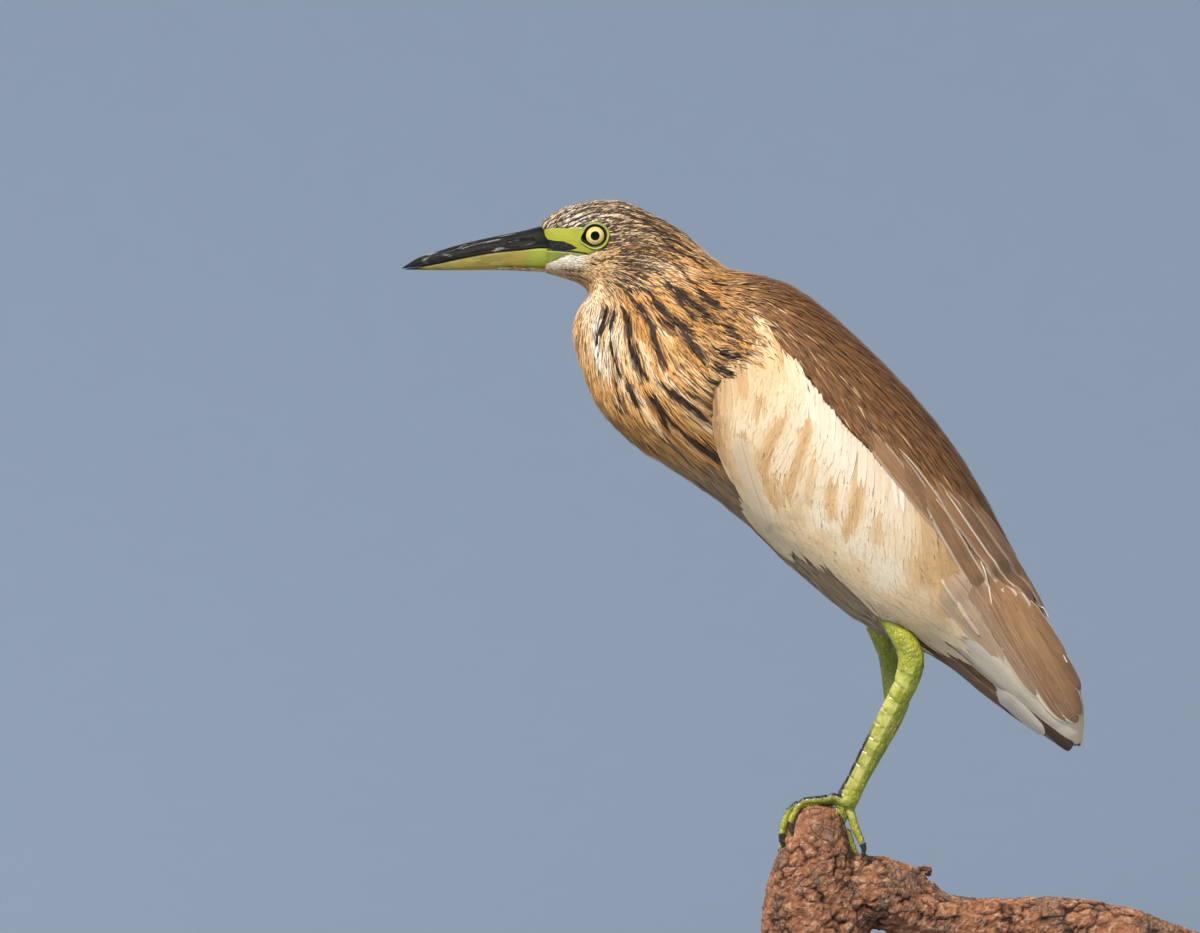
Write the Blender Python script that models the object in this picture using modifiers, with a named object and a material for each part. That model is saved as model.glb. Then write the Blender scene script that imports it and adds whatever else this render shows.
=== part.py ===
"""A squacco heron at life size, gripping a short cut length of branch on a plain display stand.

The bird looks along -X, its left side faces -Y, and +Z is up. The origin is the middle of the
stand's underside. One envelope carries the whole outer form, from the base of the bill to the tips
of the folded wings. Each part of the body is a length of that envelope, and the wings are shells
let into its sides.
"""

import math
from collections import namedtuple

import bmesh
import bpy
import numpy as np
from mathutils import Matrix, Vector

MM = 0.001
GAP = 0.3  # mm between neighbouring pieces
RING_POINTS = 22  # points round the body
RINGS_A_STATION = 1.5  # rings of the body between two stations
LIMB_POINTS = 10  # points round a leg
SHARP_ANGLE = math.radians(50)  # edges past it are drawn sharp
NUDGE = 0.02  # of a station, a joint or a radian, to find a slope

# ---------------------------------------------------------------- body, in millimetres
# A station is one cross-section, square to the plane of symmetry. It runs from its low point to its
# high point, both (x, z). Fullness rounds its sides (1 is an ellipse, less is boxier), and lean
# lifts its widest place towards the back.
Station = namedtuple("Station", "low high half_width fullness lean")

STATIONS = (
    Station((-141.0, 341.9), (-142.4, 364.0), 5.6, 0.90, 0.00),  # 0 base of the bill
    Station((-134.5, 340.2), (-136.5, 368.4), 8.8, 0.90, 0.00),
    Station((-127.6, 337.9), (-128.0, 371.9), 11.6, 0.88, 0.00),
    Station((-123.2, 335.2), (-117.0, 373.6), 13.4, 0.88, -0.02),  # 3 eyes
    Station((-121.8, 331.6), (-105.5, 372.9), 14.6, 0.90, -0.02),  # 4 throat
    Station((-125.8, 327.2), (-95.5, 368.2), 15.6, 0.94, 0.00),
    Station((-129.2, 318.6), (-87.0, 363.6), 17.2, 0.96, 0.02),
    Station((-128.2, 308.4), (-79.0, 358.5), 19.4, 0.96, 0.04),  # 7 fold of the neck
    Station((-124.5, 297.6), (-71.2, 350.9), 22.4, 0.95, 0.06),
    Station((-119.4, 285.2), (-61.4, 343.6), 26.0, 0.94, 0.08),
    Station((-110.4, 274.2), (-49.6, 341.8), 30.4, 0.92, 0.10),  # 10 shoulders
    Station((-98.7, 264.4), (-37.0, 338.4), 34.6, 0.90, 0.11),
    Station((-84.5, 255.4), (-23.2, 329.8), 37.6, 0.90, 0.11),
    Station((-68.3, 244.2), (-7.9, 316.4), 39.4, 0.90, 0.10),
    Station((-50.6, 228.3), (9.6, 299.2), 39.8, 0.90, 0.09),  # 14 widest
    Station((-33.3, 213.2), (26.8, 280.0), 38.4, 0.92, 0.08),
    Station((-17.7, 199.9), (42.9, 256.9), 35.4, 0.94, 0.07),
    Station((-2.6, 188.9), (55.6, 233.6), 31.2, 0.98, 0.06),  # 17 legs
    Station((14.0, 181.2), (66.0, 212.9), 26.6, 1.02, 0.05),
    Station((30.3, 173.6), (75.0, 194.9), 22.0, 1.05, 0.04),
    Station((46.6, 160.6), (83.2, 178.0), 17.6, 1.06, 0.03),
    Station((61.0, 149.8), (90.1, 163.2), 13.6, 1.06, 0.02),
    Station((74.6, 140.2), (91.6, 149.4), 9.6, 1.00, 0.00),
    Station((83.6, 134.2), (90.2, 138.8), 5.2, 0.90, 0.00),  # 23 tips
)
LAST = len(STATIONS) - 1

# Where the body is parted, in stations.
HEAD_END = 4.35
NECK_FOLD = 7.5
NECK_END = 10.35
TRUNK_END = 18.6

# The folded wing, as (station, low edge, high edge), the edges as shares of the section's height.
WING_EDGES = (
    (10.60, 0.800, 0.840),
    (11.00, 0.580, 0.815),
    (11.35, 0.420, 0.790),
    (12.20, 0.230, 0.740),
    (13.00, 0.130, 0.695),
    (13.50, 0.070, 0.675),
    (14.10, 0.045, 0.660),
    (14.55, 0.120, 0.655),
    (15.40, 0.135, 0.670),
    (16.40, 0.140, 0.750),
    (17.30, 0.165, 0.860),
    (18.20, 0.175, 1.000),
    (20.00, 0.240, 1.000),
    (21.50, 0.300, 1.000),
    (22.85, 0.400, 1.000),
)
WING_THICKNESS = ((10.6, 3.0), (14.0, 4.8), (18.0, 4.2), (21.0, 3.0), (22.85, 1.6))
WING_PROUD = 0.5  # how far the wing stands off the envelope
WING_ROOM = 4 * GAP  # room round the edge of a wing
CUTTER_PROUD = 4.0
WING_ROWS_A_STATION = 1.5
WING_COLUMNS = 7
FLIGHT_START = 18.2  # station where the flight feathers run clear of the coverts
STATION_LENGTH = 17.0  # mm from one station to the next near there
WING_ROOM_BEFORE = 0.12  # stations by which the wing's cutter starts before the wing
FLIGHT_ROOM_BEFORE = 0.06  # the same for the cutter of the flight feathers
ROWS_APART = 0.05  # the least number of stations between a wing's end and its next row
MIDDLE_OF_BACK = 0.999  # an upper edge from this share up runs along the middle of the back
LEAST_SWING_RADIUS = 8.0  # mm, so that a margin stays small on the narrow sections
HALVINGS = 24  # rounds of the search for an angle

# ---------------------------------------------------------------- bill, in millimetres
# (x, edge of the gape, ridge, half width), from the tip back to the face.
BILL_UPPER = (
    (-202.0, 343.9, 344.4, 0.4),
    (-195.6, 344.7, 348.3, 1.5),
    (-189.2, 345.6, 350.6, 2.2),
    (-176.3, 348.5, 354.5, 3.2),
    (-163.4, 350.9, 357.5, 4.1),
    (-150.5, 352.2, 360.1, 4.9),
    (-142.7, 352.9, 362.2, 5.5),
)
BILL_LOWER = (
    (-200.6, 343.75, 343.45, 0.3),
    (-195.6, 344.3, 343.4, 1.2),
    (-189.2, 345.2, 343.2, 1.9),
    (-176.3, 348.1, 343.2, 2.8),
    (-163.4, 350.5, 343.3, 3.6),
    (-150.5, 351.8, 343.0, 4.4),
    (-142.2, 352.5, 342.8, 5.1),
)

BILL_POINTS = 7  # points across the arch of one half
BILL_FULLNESS = 0.85  # 1 is an ellipse, less is boxier

EYE_CENTRE = (-118.7, 8.6, 357.6)
EYE_RADIUS = 5.8

# ---------------------------------------------------------------- legs, in millimetres
# A leg runs through joints of (x, y, z, half depth fore and aft, half width across). The marks are
# the joints at which the thigh, the shank, the tarsus and the foot end.
Leg = namedtuple("Leg", "joints marks outwards")
LEFT_LEG = Leg(
    joints=(
        (-14.0, -8.6, 215.0, 7.6, 5.6),
        (-4.6, -10.6, 205.6, 6.6, 4.8),
        (4.4, -12.8, 196.2, 4.2, 3.6),  # 2 the thigh ends
        (9.0, -14.2, 190.0, 4.2, 3.4),
        (13.6, -15.2, 184.0, 5.0, 3.8),
        (16.4, -15.8, 177.4, 5.9, 4.4),  # 5 heel
        (16.0, -15.7, 171.6, 5.7, 4.3),
        (13.4, -15.2, 163.6, 5.1, 3.7),
        (5.8, -14.2, 149.6, 4.7, 3.3),
        (-4.1, -13.0, 129.4, 4.6, 3.2),
        (-8.4, -12.6, 120.6, 4.6, 3.5),  # 10 the foot starts
        (-10.4, -12.3, 116.2, 4.8, 3.9),
        (-10.8, -12.2, 112.8, 3.6, 3.4),
    ),
    marks=(2, 5, 10, 12),
    outwards=-1,
)
RIGHT_LEG = Leg(
    joints=(
        (-13.0, 8.6, 212.0, 7.6, 5.6),
        (-5.0, 11.0, 202.0, 6.6, 4.8),
        (1.4, 13.6, 191.4, 4.6, 4.0),  # 2 the thigh ends
        (4.4, 16.0, 184.0, 4.2, 3.6),
        (7.4, 18.6, 176.4, 4.2, 3.6),
        (11.0, 21.8, 161.0, 5.8, 4.4),  # 5 heel
        (10.6, 21.6, 155.6, 5.5, 4.2),
        (8.4, 20.4, 149.4, 4.9, 3.7),
        (2.4, 18.2, 138.4, 4.6, 3.3),
        (-7.4, 15.0, 121.6, 4.5, 3.2),
        (-13.2, 13.0, 111.4, 4.6, 3.5),  # 10 the foot starts
        (-15.4, 12.4, 107.0, 4.8, 3.9),
        (-16.0, 12.2, 103.8, 3.6, 3.4),
    ),
    marks=(2, 5, 10, 12),
    outwards=1,
)

# A front toe: how far its knuckle splays outwards, and how far it reaches down past the rim.
Toe = namedtuple("Toe", "name root splay drop root_radius tip_radius")
FRONT_TOES = (
    Toe("outer", 2.7, 3.8, 7.6, 2.1, 1.5),
    Toe("middle", 0.1, -2.6, 10.5, 2.4, 1.5),
    Toe("inner", -2.5, -9.0, 6.4, 2.2, 1.5),
)
HIND_TOE_RADII = (2.5, 1.7)
TOE_POINTS = 7  # points round a toe
TOE_FLATNESS = 0.92  # its width as a share of its depth
TOE_CLEARANCE = 0.1  # between a toe and the wood under it
CLAW_LENGTH = 7.4
CLAW_BEND = math.radians(58)
CLAW_POINTS = 5
CLAW_ROOT = 0.85  # its radius at the root as a share of the toe's
CLAW_TIP = 0.25  # its radius at the tip
CLAW_TAPER = 0.8  # 1 tapers evenly, less keeps it thick for longer
CLAW_FLATNESS = 0.8

# ---------------------------------------------------------------- perch and stand, in millimetres
# The stub, as (z, x of its middle, half width along X, half width along Y), from the top down.
STUB = (
    (108.0, -24.2, 8.8, 15.5),
    (106.8, -24.0, 11.0, 17.8),
    (103.2, -23.8, 12.6, 19.4),
    (97.0, -23.9, 14.2, 20.6),
    (89.0, -24.8, 16.8, 21.4),
    (80.5, -24.9, 20.4, 21.8),
    (69.0, -24.4, 22.8, 22.2),
    (47.0, -24.2, 23.4, 22.0),
)
STUB_SLANT = 0.36  # the broken top falls towards the far side
STUB_ROUNDNESS = 2.5  # power of the superellipse of its plan
STUB_SLANT_FROM = 0.375  # share of its height at which the slant begins
STUB_SMOOTH_FROM = 92.0  # z from which it has no swellings, so that the feet fit
STUB_POINTS, LIMB_OF_WOOD_POINTS, SPUR_POINTS = 16, 10, 6
# The limb that leaves it, as (x, y, z, radius).
LIMB = (
    (-20.0, 0.0, 76.0, 15.0),
    (-2.0, 0.4, 76.2, 16.2),
    (12.0, 1.2, 72.0, 15.4),
    (26.0, 2.2, 63.6, 12.6),
    (48.0, 3.0, 61.4, 12.4),
    (70.0, 2.0, 61.8, 12.4),
    (90.0, 0.0, 60.8, 12.2),
    (108.0, -2.0, 58.0, 11.6),
    (125.0, -3.2, 52.6, 10.6),
    (138.0, -4.0, 48.8, 10.0),
)
SPUR = ((13.0, 4.0, 80.0, 4.0), (19.0, 4.6, 84.4, 3.0), (25.8, 5.0, 84.6, 2.3))
BARK_RELIEF = 0.03  # share of the radius by which the bark swells and sinks

BASE_SIZE = (210.0, 130.0, 12.0)
BASE_CORNER = 20.0
BASE_CHAMFER = 2.0
CORNER_SEGMENTS, CHAMFER_SEGMENTS = 5, 2
ROD_RADIUS = 4.0
ROD_FOOT_RADIUS = 9.0
ROD_FOOT_HEIGHT = 2.4
ROD_SIDES = 14
ROD_CHAMFER = 1.0
AXIS_MERGE = 1e-6  # metres
FRONT_ROD_X, FRONT_ROD_TOP = -24.0, 56.0
REAR_ROD_X, REAR_ROD_TOP = 70.0, 57.0

FINISHES = {
    "plumage_streaked": ((0.62, 0.44, 0.25), 0.75, 0.0),
    "plumage_brown": ((0.33, 0.22, 0.14), 0.75, 0.0),
    "plumage_white": ((0.86, 0.78, 0.66), 0.75, 0.0),
    "bill_dark": ((0.05, 0.05, 0.055), 0.35, 0.0),
    "bill_pale": ((0.52, 0.50, 0.20), 0.40, 0.0),
    "iris": ((0.78, 0.66, 0.25), 0.10, 0.0),
    "leg_skin": ((0.45, 0.52, 0.10), 0.45, 0.0),
    "claw_horn": ((0.07, 0.06, 0.05), 0.35, 0.0),
    "bark": ((0.28, 0.16, 0.11), 0.85, 0.0),
    "stand_wood": ((0.16, 0.10, 0.07), 0.40, 0.0),
    "stand_steel": ((0.35, 0.35, 0.36), 0.35, 1.0),
}


# ---------------------------------------------------------------- helpers
def clear_scene():
    """Removes the startup scene's objects."""
    for item in list(bpy.data.objects):
        bpy.data.objects.remove(item, do_unlink=True)


def new_collection(name):
    """A collection of that name in the scene."""
    made = bpy.data.collections.new(name)
    bpy.context.scene.collection.children.link(made)
    return made


def finish(name):
    """The material of that name, made once."""
    if name in bpy.data.materials:
        return bpy.data.materials[name]
    colour, roughness, metallic = FINISHES[name]
    made = bpy.data.materials.new(name)
    made.use_nodes = True
    shader = made.node_tree.nodes["Principled BSDF"]
    shader.inputs["Base Color"].default_value = (*colour, 1.0)
    shader.inputs["Roughness"].default_value = roughness
    shader.inputs["Metallic"].default_value = metallic
    made.diffuse_color = (*colour, 1.0)
    return made


def add_mesh(collection, name, points_mm, faces, material):
    """A mesh object from points in millimetres, with its faces turned outwards."""
    mesh = bpy.data.meshes.new(name)
    mesh.from_pydata([tuple(c * MM for c in p) for p in points_mm], [], faces)
    edit = bmesh.new()
    edit.from_mesh(mesh)
    bmesh.ops.recalc_face_normals(edit, faces=edit.faces)
    edit.to_mesh(mesh)
    edit.free()
    made = bpy.data.objects.new(name, mesh)
    collection.objects.link(made)
    made.data.materials.append(finish(material))
    mesh.shade_smooth()
    mesh.set_sharp_from_angle(angle=SHARP_ANGLE)
    return made


def loft_faces(ring_count, points_each):
    """Quads between neighbouring rings, and a cap on each end."""
    faces = []
    for ring in range(ring_count - 1):
        for k in range(points_each):
            after = (k + 1) % points_each
            a, b = ring * points_each, (ring + 1) * points_each
            faces.append((a + k, a + after, b + after, b + k))
    last = (ring_count - 1) * points_each
    faces.append(tuple(reversed(range(points_each))))
    faces.append(tuple(range(last, last + points_each)))
    return faces


def loft(collection, name, rings, material):
    """A closed solid through rings of points."""
    points = [p for ring in rings for p in ring]
    return add_mesh(collection, name, points, loft_faces(len(rings), len(rings[0])), material)


def smooth_row(rows, at):
    """The values of a table of numbers at a fractional row, on a Catmull-Rom curve."""
    rows = np.asarray(rows, float)
    at = min(max(at, 0.0), len(rows) - 1.0)
    k = min(int(at), len(rows) - 2)
    t = at - k
    p1, p2 = rows[k], rows[k + 1]
    p0 = rows[k - 1] if k > 0 else 2 * p1 - p2
    p3 = rows[k + 2] if k + 2 < len(rows) else 2 * p2 - p1
    square = (2 * p0 - 5 * p1 + 4 * p2 - p3) * t**2
    cube = (3 * p1 - p0 - 3 * p2 + p3) * t**3
    return 0.5 * (2 * p1 + (p2 - p0) * t + square + cube)


def hide_cutter(item):
    """Marks a solid as a helper that isn't part of the model, and hands it back."""
    item.hide_render = True
    item.display_type = "WIRE"
    return item


def cut(item, cutters):
    """Takes each cutter away from the item."""
    for cutter in cutters:
        modifier = item.modifiers.new("cut_" + cutter.name, "BOOLEAN")
        modifier.operation = "DIFFERENCE"
        modifier.solver = "EXACT"
        modifier.object = cutter


# ---------------------------------------------------------------- envelope
STATION_ROWS = [(*s.low, *s.high, s.half_width, s.fullness, s.lean) for s in STATIONS]


def envelope(station, angle):
    """A point of the outer form. The angle runs from the belly (0) up the left side to the back (pi)."""
    low_x, low_z, high_x, high_z, half_width, fullness, lean = smooth_row(STATION_ROWS, station)
    side = math.sin(angle)
    share = (1 - math.cos(angle)) / 2 + lean * side * side
    across = half_width * math.copysign(abs(side) ** fullness, side)
    return Vector((low_x + (high_x - low_x) * share, -across, low_z + (high_z - low_z) * share))


def envelope_normal(station, angle):
    """The outward normal of the outer form."""
    along = envelope(min(station + NUDGE, LAST), angle) - envelope(max(station - NUDGE, 0), angle)
    around = envelope(station, angle + NUDGE) - envelope(station, angle - NUDGE)
    return along.cross(around).normalized()


def section_normal(station):
    """The direction square to a cross-section, pointing towards the tail."""
    low_x, low_z, high_x, high_z = smooth_row(STATION_ROWS, station)[:4]
    return Vector((high_z - low_z, 0, -(high_x - low_x))).normalized()


def body_length(collection, name, start, end, material):
    """The length of the envelope between two stations, a gap short at a parted end."""
    steps = max(2, round((end - start) * RINGS_A_STATION))
    rings = []
    for k in range(steps + 1):
        station = start + (end - start) * k / steps
        shift = Vector()
        if k == 0 and start > 0:
            shift = section_normal(station) * (GAP / 2)
        if k == steps and end < LAST:
            shift = section_normal(station) * (-GAP / 2)
        angles = [2 * math.pi * j / RING_POINTS for j in range(RING_POINTS)]
        rings.append([envelope(station, angle) + shift for angle in angles])
    return loft(collection, name, rings, material)


# ---------------------------------------------------------------- wings
def edge_angle(share, station):
    """The angle at which the envelope's section reaches that share of its height."""
    lean = smooth_row(STATION_ROWS, station)[6]
    low, high = 0.0, math.pi
    for _ in range(HALVINGS):
        angle = (low + high) / 2
        reached = (1 - math.cos(angle)) / 2 + lean * math.sin(angle) ** 2
        low, high = (angle, high) if reached < share else (low, angle)
    return (low + high) / 2


def wing_angles(station, margin):
    """The angles of a wing's columns at a station. A margin, in millimetres, adds a column at each edge."""
    rows = np.array(WING_EDGES)
    station = min(max(station, rows[0, 0]), rows[-1, 0])
    low, high = (float(np.interp(station, rows[:, 0], rows[:, k])) for k in (1, 2))
    low = edge_angle(low, station)
    high = edge_angle(high, station) if high < MIDDLE_OF_BACK else math.pi
    angles = [low + (high - low) * j / WING_COLUMNS for j in range(WING_COLUMNS + 1)]
    if margin <= 0:
        return angles
    swing = margin / max(smooth_row(STATION_ROWS, station)[4], LEAST_SWING_RADIUS)
    return [low - swing, *angles, high + swing]


def wing_stations(start, end):
    """The rows of a wing between two stations. Every piece and cutter shares the rows in between."""
    shared = []
    for first, last in ((WING_EDGES[0][0], FLIGHT_START), (FLIGHT_START, WING_EDGES[-1][0])):
        count = round((last - first) * WING_ROWS_A_STATION)
        shared += [first + (last - first) * k / count for k in range(count + 1)]
    return [start, *[s for s in sorted(set(shared)) if start + ROWS_APART < s < end - ROWS_APART], end]


def wing_sheets(stations, outside, inside_extra, margin, both_sides=False):
    """The outer and the inner sheet of the left wing, or of both where they meet over the back."""
    thickness = np.array(WING_THICKNESS)
    outer, inner = [], []
    for station in stations:
        deep = float(np.interp(station, thickness[:, 0], thickness[:, 1])) + inside_extra
        angles = wing_angles(station, margin)
        if both_sides:
            left = angles[:-1]
            angles = left + [math.tau - angle for angle in reversed(left[:-1])]
        beyond = section_normal(station) * (margin if station == LAST else 0.0)
        for angle in angles:
            at, normal = envelope(station, angle) + beyond, envelope_normal(station, angle)
            outer.append(at + normal * outside)
            inner.append(at - normal * deep)
    return outer, inner


def sheet_solid(collection, name, outer, inner, wide, material):
    """A closed solid between two sheets of points, both in rows of the same width."""
    count = len(outer)
    rows = count // wide - 1
    faces = []
    for i in range(rows):
        for j in range(wide - 1):
            a = i * wide + j
            for corners in ((a, a + 1, a + wide + 1), (a, a + wide + 1, a + wide)):
                faces.append(corners)
                faces.append(tuple(count + k for k in reversed(corners)))
    rim = list(range(wide))
    rim += [i * wide + wide - 1 for i in range(1, rows + 1)]
    rim += [rows * wide + j for j in range(wide - 2, -1, -1)]
    rim += [i * wide for i in range(rows - 1, 0, -1)]
    for a, b in zip(rim, rim[1:] + rim[:1]):
        faces.append((a, b, count + b, count + a))
    return add_mesh(collection, name, outer + inner, faces, material)


def wing_shell(collection, name, start, end, side, material):
    """A folded wing between two stations, on its own side of the plane of symmetry (-1 is left)."""
    outer, inner = wing_sheets(wing_stations(start, end), WING_PROUD, 0.0, 0.0)
    for point in outer + inner:
        point.y = -side * min(point.y, -GAP / 2)
    return sheet_solid(collection, name, outer, inner, WING_COLUMNS + 1, material)


def wing_room(cutters):
    """The room that the wings take from the trunk and the tail: one cutter a side, and one over the back."""
    made = []
    first = WING_EDGES[0][0]
    for side, word in ((-1, "left"), (1, "right")):
        stations = wing_stations(first - WING_ROOM_BEFORE, FLIGHT_START)
        outer, inner = wing_sheets(stations, CUTTER_PROUD, GAP, WING_ROOM)
        for point in outer + inner:
            point.y *= -side
        made.append(sheet_solid(cutters, f"wing_room_{word}", outer, inner, WING_COLUMNS + 3, "plumage_white"))
    stations = wing_stations(FLIGHT_START - FLIGHT_ROOM_BEFORE, LAST)
    outer, inner = wing_sheets(stations, CUTTER_PROUD + GAP, 2 * GAP, WING_ROOM, both_sides=True)
    wide = len(outer) // len(stations)
    made.append(sheet_solid(cutters, "flight_room", outer, inner, wide, "plumage_white"))
    return [hide_cutter(item) for item in made]


def make_wings(parts):
    """Both folded wings, each parted where its flight feathers run clear."""
    split = GAP / 2 / STATION_LENGTH
    first, last = WING_EDGES[0][0], WING_EDGES[-1][0]
    for side, word in ((-1, "left"), (1, "right")):
        wing_shell(parts, f"wing_{word}", first, FLIGHT_START - split, side, "plumage_white")
        wing_shell(parts, f"flight_feathers_{word}", FLIGHT_START + split, last, side, "plumage_brown")


# ---------------------------------------------------------------- limbs
def tangent(rows, at):
    """The direction of a path of rows at a fractional row."""
    after = smooth_row(rows, min(at + NUDGE, len(rows) - 1))
    before = smooth_row(rows, max(at - NUDGE, 0))
    return Vector(after[:3] - before[:3]).normalized()


def limb_rings(rows, points_round, start=0.0, end=None, steps_each=1.5, grow=0.0, trim=(0.0, 0.0)):
    """Elliptic rings along rows of (x, y, z, half depth, half width), square to the line through them."""
    end = len(rows) - 1 if end is None else end
    count = max(1, math.ceil((end - start) * steps_each))
    rings = []
    for k in range(count + 1):
        at = start + (end - start) * k / count
        row, along = smooth_row(rows, at), tangent(rows, at)
        across = (Vector((0, 1, 0)) - along * along.y).normalized()
        depth = along.cross(across)
        middle = Vector(row[:3])
        middle += along * (trim[0] if k == 0 else -trim[1] if k == count else 0.0)
        ring = []
        for j in range(points_round):
            angle = 2 * math.pi * j / points_round
            offset = depth * (math.cos(angle) * (row[3] + grow)) + across * (math.sin(angle) * (row[4] + grow))
            ring.append(middle + offset)
        rings.append(ring)
    return rings


def claw_rings(root, along, down, radius, grow=0.0):
    """Rings of a claw that leaves a toe along one direction and curves over to another."""
    rings = []
    steps = 3
    third = along.cross(down).normalized()
    for k in range(steps + 1):
        share = k / steps
        bend = share * CLAW_BEND
        at = root + (along * math.sin(bend) + down * (1 - math.cos(bend))) * (CLAW_LENGTH / CLAW_BEND)
        forward = (along * math.cos(bend) + down * math.sin(bend)).normalized()
        across = forward.cross(third).normalized()
        size = radius * (1 - share) ** CLAW_TAPER + CLAW_TIP + grow
        at += forward * (grow if k == steps else -grow if k == 0 else 0.0)
        ring = []
        for j in range(CLAW_POINTS):
            angle = j * math.tau / CLAW_POINTS
            ring.append(at + (across * math.cos(angle) + third * (math.sin(angle) * CLAW_FLATNESS)) * size)
        rings.append(ring)
    return rings


def stub_top(y):
    """The height of the stub's broken top at y."""
    return STUB[0][0] - STUB_SLANT * y


def stub_front(y, below):
    """The x of the stub's front face at y, that far below its top."""
    heights = [STUB[0][0] - row[0] for row in STUB]
    middle, half_x, half_y = (float(np.interp(below, heights, [row[k] for row in STUB])) for k in (1, 2, 3))
    share = min(abs(y) / half_y, 1.0) ** STUB_ROUNDNESS
    return middle - half_x * (1 - share) ** (1 / STUB_ROUNDNESS)


def front_toe_rows(leg, toe):
    """A front toe's path: out along the broken top, over the rim, and down the front face."""
    foot = Vector(leg.joints[-1][:3])
    root_y = foot.y + leg.outwards * toe.root
    knuckle_y = foot.y + leg.outwards * toe.splay
    clear = toe.root_radius + TOE_CLEARANCE
    top = stub_top(knuckle_y)
    rim = stub_front(knuckle_y, 2.0)
    middle_y = (root_y + knuckle_y) / 2
    path = [
        (foot.x + 1.2 - toe.root_radius * 0.3, foot.y + leg.outwards * toe.root * 0.6, foot.z + 1.6),
        (foot.x - 6.0, root_y, stub_top(root_y) + clear + 1.6),
        ((foot.x + rim) / 2, middle_y, stub_top(middle_y) + clear + 0.4),
        (rim + 1.4, knuckle_y, top + clear - 0.6),
        (rim - 1.4, knuckle_y, top - 0.4),
        (stub_front(knuckle_y, 6.0) - 1.9, knuckle_y, top - 5.4),
        (stub_front(knuckle_y, toe.drop) - 1.8, knuckle_y, top - toe.drop),
    ]
    return graded(path, toe.root_radius, toe.tip_radius)


def hind_toe_rows(leg):
    """The hind toe's path, down behind the stub."""
    foot = Vector(leg.joints[-1][:3])
    back = STUB[1][1] + STUB[1][2]
    x = max(foot.x + 1.4, back + 2.6)
    path = [
        (foot.x, foot.y, foot.z + 1.0),
        (x, foot.y, foot.z - 3.2),
        (x + 1.8, foot.y, foot.z - 9.0),
        (x + 4.8, foot.y, foot.z - 15.6),
    ]
    return graded(path, *HIND_TOE_RADII)


def graded(path, first, last):
    """Adds to each point of a path its radii, from the first to the last."""
    count = len(path) - 1
    radii = [first + (last - first) * k / count for k in range(count + 1)]
    return [(*point, radius, radius * TOE_FLATNESS) for point, radius in zip(path, radii)]


def join(item, helpers):
    """Adds each helper's solid to the item."""
    for helper in helpers:
        hide_cutter(helper)
        modifier = item.modifiers.new("join_" + helper.name, "BOOLEAN")
        modifier.operation = "UNION"
        modifier.solver = "EXACT"
        modifier.use_self = True
        modifier.object = helper


def make_foot(parts, cutters, leg, word):
    """The foot in one piece, and its four claws. Returns the cutters that make room in the bark."""
    start = leg.marks[2]
    foot = loft(
        parts,
        f"foot_{word}",
        limb_rings(leg.joints, LIMB_POINTS, start, leg.marks[3], trim=(GAP / 2, 0)),
        "leg_skin",
    )
    toes = [(toe.name, front_toe_rows(leg, toe)) for toe in FRONT_TOES] + [("hind", hind_toe_rows(leg))]
    pad_room = limb_rings(leg.joints, LIMB_POINTS, start, leg.marks[3], grow=GAP, trim=(0, -GAP))
    solids, room = [], [hide_cutter(loft(cutters, f"pad_room_{word}", pad_room, "bark"))]
    for name, rows in toes:
        solids.append(loft(cutters, f"toe_{name}_{word}", limb_rings(rows, TOE_POINTS, steps_each=1), "leg_skin"))
        grown = limb_rings(rows, TOE_POINTS, steps_each=1, grow=GAP, trim=(0, -GAP))
        room.append(hide_cutter(loft(cutters, f"toe_room_{name}_{word}", grown, "bark")))
        along = tangent(rows, len(rows) - 1)
        tip = Vector(rows[-1][:3])
        inwards = Vector((STUB[1][1], tip.y, tip.z)) - tip
        inwards = (inwards - along * inwards.dot(along)).normalized()
        root, radius = tip + along * GAP, rows[-1][3] * CLAW_ROOT
        loft(parts, f"claw_{name}_{word}", claw_rings(root, along, inwards, radius), "claw_horn")
        grown = claw_rings(root, along, inwards, radius, GAP)
        room.append(hide_cutter(loft(cutters, f"claw_room_{name}_{word}", grown, "bark")))
    join(foot, solids)
    return room


def make_leg(parts, cutters, leg, word):
    """Thigh, shank, tarsus and foot of one leg. Returns the room it needs in the trunk and in the bark."""
    half = GAP / 2
    thigh_end, heel, foot_start = leg.marks[:3]
    loft(
        parts,
        f"thigh_{word}",
        limb_rings(leg.joints, LIMB_POINTS, 0, thigh_end, trim=(0, half)),
        "plumage_white",
    )
    loft(
        parts,
        f"shank_{word}",
        limb_rings(leg.joints, LIMB_POINTS, thigh_end, heel, trim=(half, half)),
        "leg_skin",
    )
    loft(
        parts,
        f"tarsus_{word}",
        limb_rings(leg.joints, LIMB_POINTS, heel, foot_start, trim=(half, half)),
        "leg_skin",
    )
    room = limb_rings(leg.joints, LIMB_POINTS, 0, heel, grow=GAP, trim=(-GAP, -GAP))
    in_trunk = hide_cutter(loft(cutters, f"leg_room_{word}", room, "plumage_white"))
    return in_trunk, make_foot(parts, cutters, leg, word)


# ---------------------------------------------------------------- head
def bill_half(collection, name, rows, material):
    """One half of the bill: a flat biting face and an arched outer side."""
    rings = []
    count = (len(rows) - 1) * 2
    for k in range(count + 1):
        x, edge, ridge, half_width = smooth_row(rows, k / 2)
        ring = []
        for j in range(BILL_POINTS):
            angle = math.pi * j / (BILL_POINTS - 1)
            height = edge + (ridge - edge) * math.sin(angle) ** BILL_FULLNESS
            ring.append(Vector((x, half_width * math.cos(angle), height)))
        rings.append(ring)
    return loft(collection, name, rings, material)


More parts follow.
